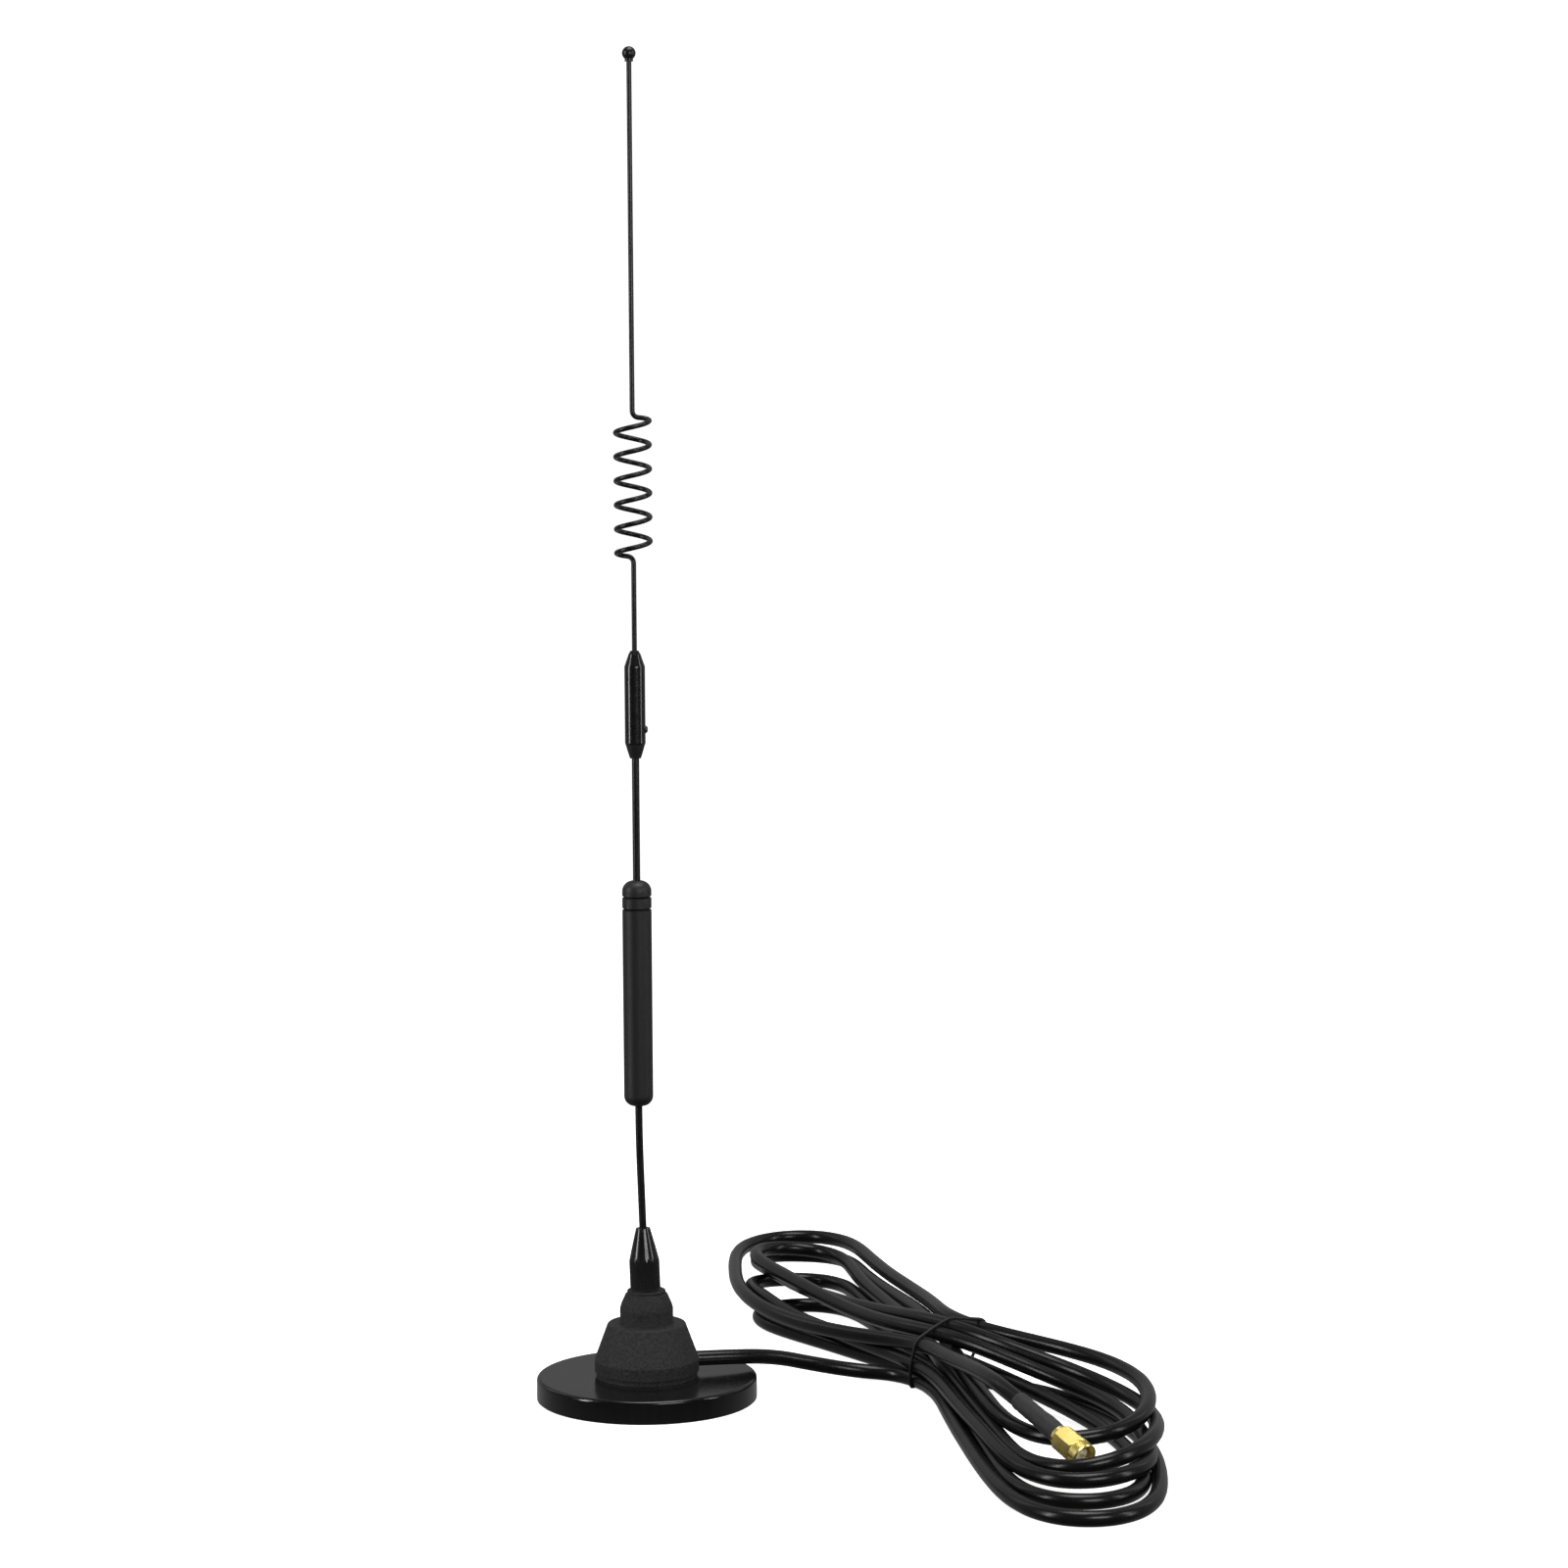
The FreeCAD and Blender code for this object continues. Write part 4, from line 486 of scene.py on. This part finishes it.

# base cup: black coated steel, glossy with an orange-peel wave, with a painted highlight along its rim
base_m = material("base_gloss_black", (0.004, 0.004, 0.0043), rough=0.16, spec=0.5)
to_rough(base_m, noise(base_m, 700.0, 5.0), 0.12, 0.20)
b0 = to_bump(base_m, noise(base_m, 1900.0), 0.03, 0.00002)
to_bump(base_m, noise(base_m, 260.0, 2.0), 0.03, 0.00005, b0)
to_color(base_m, noise(base_m, 90.0, 5.0), (0.0035, 0.0035, 0.0038), (0.006, 0.006, 0.0064))
painted_edge_highlight(base_m, 0.25, (0.03, 0.03, 0.031))
paint(base_m, "base_cup")

# moulded cone and boot: coarse spark-eroded texture
for nm, names, scale, dark, light in (
    ("cone_texture", ("cone_housing",), 1100.0, (0.009, 0.009, 0.0095), (0.032, 0.032, 0.033)),
    ("boot_texture", ("insulator_boot",), 1100.0, (0.006, 0.006, 0.0064), (0.022, 0.022, 0.023)),
):
    m = material(nm, dark, rough=0.6, spec=0.42)
    grain = noise(m, scale, 5.0, 0.62)
    to_rough(m, noise(m, 2400.0), 0.50, 0.70)
    b0 = to_bump(m, grain, 1.0, 0.00045)
    to_bump(m, noise(m, 2600.0, 2.0), 0.5, 0.00010, b0)
    to_color(m, grain, dark, light, 0.40, 0.66)
    # painted highlight: the moulding's edges a little lighter
    painted_edge_highlight(m, 0.18, (0.07, 0.07, 0.072))
    paint(m, *names)

sleeve_m = material("sleeve_fine_matt", (0.008, 0.008, 0.0085), rough=0.48, spec=0.5)
grain = noise(sleeve_m, 3600.0, 4.0, 0.6)
to_rough(sleeve_m, noise(sleeve_m, 1300.0), 0.44, 0.58)
to_bump(sleeve_m, grain, 0.5, 0.00006)
to_color(sleeve_m, grain, (0.006, 0.006, 0.0065), (0.013, 0.013, 0.0137), 0.38, 0.64)
# painted highlight: the sleeve's edges a little lighter
painted_edge_highlight(sleeve_m, 0.15, (0.06, 0.06, 0.062))
paint(sleeve_m, "coil_sleeve", "tube_end_bush")

rubber = material("soft_rubber", (0.012, 0.012, 0.012), rough=0.7, spec=0.3, sheen=0.2)
to_rough(rubber, noise(rubber, 900.0), 0.62, 0.82)
to_bump(rubber, noise(rubber, 1800.0, 4.0), 0.4, 0.00008)
to_color(rubber, noise(rubber, 300.0), (0.010, 0.010, 0.010), (0.020, 0.020, 0.020))
paint(rubber, "base_pad", "cable_grommet", "mast_seal")

# turned black metal: ferrule and tuning tube, with fine lathe lines round the axis
turned = material("turned_black_gloss", (0.008, 0.008, 0.009), rough=0.2, metallic=0.3, spec=0.6, coat=0.2, coat_rough=0.08)
to_rough(turned, noise(turned, 260.0, 4.0, stretch=(1.0, 1.0, 16.0)), 0.16, 0.28)
b0 = to_bump(turned, noise(turned, 180.0, 2.0, stretch=(1.0, 1.0, 40.0)), 0.10, 0.00003)
to_color(turned, noise(turned, 400.0), (0.006, 0.006, 0.0068), (0.012, 0.012, 0.013))
# painted highlight: the turned edges and knurl ridges a little lighter
painted_edge_highlight(turned, 0.25, (0.07, 0.07, 0.072))
paint(turned, "mast_ferrule", "tuning_tube")

rod_m = material("rod_black_satin", (0.008, 0.008, 0.0088), rough=0.3, metallic=0.3, spec=0.5)
to_rough(rod_m, noise(rod_m, 700.0, 3.0, stretch=(1.0, 1.0, 0.08)), 0.24, 0.38)
to_bump(rod_m, noise(rod_m, 900.0, 2.0, stretch=(1.0, 1.0, 0.05)), 0.12, 0.00003)
to_color(rod_m, noise(rod_m, 300.0), (0.006, 0.006, 0.0068), (0.013, 0.013, 0.014))
paint(rod_m, "lower_rod", "middle_rod", "upper_whip", "tip_ball")

grub_m = material("grub_black_oxide", (0.02, 0.02, 0.022), rough=0.35, metallic=0.7)
to_rough(grub_m, noise(grub_m, 1500.0), 0.28, 0.45)
to_bump(grub_m, noise(grub_m, 2500.0), 0.15, 0.00003)
# painted highlight: the screw's edges lighter
painted_edge_highlight(grub_m, 0.4, (0.2, 0.2, 0.2))
paint(grub_m, "set_screw")

# gold plating over turned and milled brass
gold = material("gold_plate", (0.95, 0.80, 0.30), rough=0.2, metallic=1.0)
to_rough(gold, noise(gold, 1400.0, 4.0), 0.26, 0.38)
to_bump(gold, noise(gold, 900.0, 3.0, stretch=(1.0, 1.0, 6.0)), 0.06, 0.00003)
to_color(gold, noise(gold, 350.0, 3.0), (0.96, 0.74, 0.19), (1.0, 0.86, 0.32))
paint(gold, "sma_nut", "sma_body", "sma_pin", "crimp_ferrule")

ptfe = material("ptfe_white", (0.86, 0.86, 0.84), rough=0.42, spec=0.45)
to_rough(ptfe, noise(ptfe, 1500.0), 0.36, 0.5)
to_bump(ptfe, noise(ptfe, 2600.0), 0.1, 0.00003)
to_color(ptfe, noise(ptfe, 600.0), (0.74, 0.72, 0.64), (0.84, 0.82, 0.76))
paint(ptfe, "sma_dielectric")

gasket_m = material("gasket_silicone", (0.25, 0.05, 0.03), rough=0.55)
to_rough(gasket_m, noise(gasket_m, 1500.0), 0.48, 0.65)
to_bump(gasket_m, noise(gasket_m, 2500.0), 0.2, 0.00004)
to_color(gasket_m, noise(gasket_m, 700.0), (0.20, 0.04, 0.025), (0.30, 0.07, 0.045))
paint(gasket_m, "sma_gasket")

ferrite = material("ferrite_ground", (0.07, 0.07, 0.073), rough=0.5, metallic=0.2)
to_rough(ferrite, noise(ferrite, 900.0, 4.0, stretch=(1.0, 8.0, 1.0)), 0.4, 0.65)
to_bump(ferrite, noise(ferrite, 1300.0, 4.0, stretch=(1.0, 6.0, 1.0)), 0.25, 0.00006)
to_color(ferrite, noise(ferrite, 500.0, 5.0), (0.05, 0.05, 0.053), (0.10, 0.10, 0.103))
paint(ferrite, "ring_magnet")

steel = material("zinc_steel", (0.55, 0.55, 0.56), rough=0.32, metallic=1.0)
to_rough(steel, noise(steel, 1300.0, 4.0), 0.24, 0.42)
to_bump(steel, noise(steel, 2200.0), 0.12, 0.00004)
to_color(steel, noise(steel, 350.0), (0.48, 0.48, 0.49), (0.62, 0.62, 0.62))
paint(steel, "housing_screws", "ground_screw", "snap_ring")

brass = material("turned_brass", (0.72, 0.56, 0.28), rough=0.24, metallic=1.0)
to_rough(brass, noise(brass, 500.0, 3.0, stretch=(1.0, 1.0, 14.0)), 0.18, 0.34)
to_bump(brass, noise(brass, 500.0, 3.0, stretch=(1.0, 1.0, 24.0)), 0.1, 0.00003)
to_color(brass, noise(brass, 250.0, 4.0), (0.64, 0.48, 0.22), (0.78, 0.63, 0.34))
paint(brass, "contact_stud", "stud_nut", "stud_washer", "contact_lug", "ground_lug", "coil_cap_lower", "coil_cap_upper")

copper = material("enamelled_copper", (0.62, 0.26, 0.12), rough=0.26, metallic=1.0, coat=0.4, coat_rough=0.08)
to_rough(copper, noise(copper, 1200.0), 0.2, 0.34)
to_bump(copper, noise(copper, 2000.0), 0.08, 0.00003)
to_color(copper, noise(copper, 300.0), (0.52, 0.20, 0.09), (0.70, 0.32, 0.16))
paint(copper, "loading_coil", "core_wire")

braid = material("tinned_braid", (0.6, 0.6, 0.6), rough=0.35, metallic=1.0)
nt = braid.node_tree
w1 = nt.nodes.new("ShaderNodeTexWave")
w1.inputs["Scale"].default_value = 700.0
w1.wave_type = "BANDS"
w1.bands_direction = "DIAGONAL"
nt.links.new(coords(braid), w1.inputs["Vector"])
to_bump(braid, w1.outputs["Fac"], 0.8, 0.0001)
to_rough(braid, noise(braid, 1200.0), 0.28, 0.46)
to_color(braid, noise(braid, 500.0), (0.5, 0.5, 0.5), (0.66, 0.66, 0.66))
paint(braid, "braid_tail")

former_m = material("former_natural", (0.66, 0.64, 0.57), rough=0.5)
to_rough(former_m, noise(former_m, 900.0), 0.42, 0.58)
to_bump(former_m, noise(former_m, 1600.0), 0.15, 0.00005)
to_color(former_m, noise(former_m, 300.0), (0.60, 0.58, 0.51), (0.70, 0.68, 0.61))
paint(former_m, "coil_former")

# ---------------------------------------------------------------- plain pale floor
bm = bmesh.new()
corners = [bm.verts.new(c) for c in ((-30.0, -6.0, 0.0), (30.0, -6.0, 0.0), (30.0, 60.0, 0.0), (-30.0, 60.0, 0.0))]
bm.faces.new(corners)
me = bpy.data.meshes.new("studio_floor")
bm.to_mesh(me)
bm.free()
floor = link(bpy.data.objects.new("studio_floor", me))
floor_m = material("floor_paper", (0.93, 0.93, 0.93), rough=0.85, spec=0.1)
floor_m.node_tree.nodes["Principled BSDF"].inputs["Emission Color"].default_value = (1.0, 1.0, 1.0, 1.0)
floor_m.node_tree.nodes["Principled BSDF"].inputs["Emission Strength"].default_value = 0.89
to_bump(floor_m, noise(floor_m, 400.0), 0.02, 0.0001)
me.materials.append(floor_m)
floor.visible_glossy = False
floor.visible_diffuse = False

# ---------------------------------------------------------------- soft studio light
# the room is dim, so that black gloss stays black, and white only where it is seen directly
world = bpy.data.worlds.new("studio")
bpy.context.scene.world = world
world.use_nodes = True
wn = world.node_tree
sky = wn.nodes["Background"]
sky.inputs["Color"].default_value = (1.0, 1.0, 1.0, 1.0)
seen = wn.nodes.new("ShaderNodeLightPath")
level = wn.nodes.new("ShaderNodeMapRange")
# darker in front of the object than behind it
way = wn.nodes.new("ShaderNodeTexCoord")
parts = wn.nodes.new("ShaderNodeSeparateXYZ")
wn.links.new(way.outputs["Generated"], parts.inputs["Vector"])
depth = wn.nodes.new("ShaderNodeMapRange")
depth.inputs["From Min"].default_value = -0.4
depth.inputs["From Max"].default_value = 0.7
depth.inputs["To Min"].default_value = 0.055
depth.inputs["To Max"].default_value = 0.255
wn.links.new(parts.outputs["Y"], depth.inputs["Value"])
wn.links.new(depth.outputs["Result"], level.inputs["To Min"])
level.inputs["To Max"].default_value = 1.1
wn.links.new(seen.outputs["Is Camera Ray"], level.inputs["Value"])
wn.links.new(level.outputs["Result"], sky.inputs["Strength"])


def area(name, place, target, size, power):
    d = bpy.data.lights.new(name, "AREA")
    d.shape = "RECTANGLE"
    d.size, d.size_y = size
    d.energy = power
    o = link(bpy.data.objects.new(name, d))
    o.location = place
    o.rotation_euler = (Vector(target) - Vector(place)).to_track_quat("-Z", "Y").to_euler()
    return o


area("key_top", (0.10, -0.05, 1.25), (0.06, 0.0, 0.0), (0.75, 0.6), 8.0)
area("side_left", (-1.25, -0.55, 0.45), (0.0, 0.0, 0.2), (0.22, 1.1), 9.0)
area("side_right", (1.35, -0.35, 0.5), (0.05, 0.0, 0.2), (0.20, 1.1), 4.0)
area("back_left", (-0.9, 0.75, 0.95), (0.05, 0.0, 0.0), (0.35, 1.0), 0.8)
area("back_right", (1.0, 0.7, 0.9), (0.05, 0.0, 0.0), (0.30, 1.0), 0.5)
area("front_low", (0.42, -0.85, 0.42), (0.13, -0.10, 0.01), (0.45, 0.3), 3.0)

bpy.context.scene.view_settings.view_transform = "Standard"

bpy.context.view_layer.update()
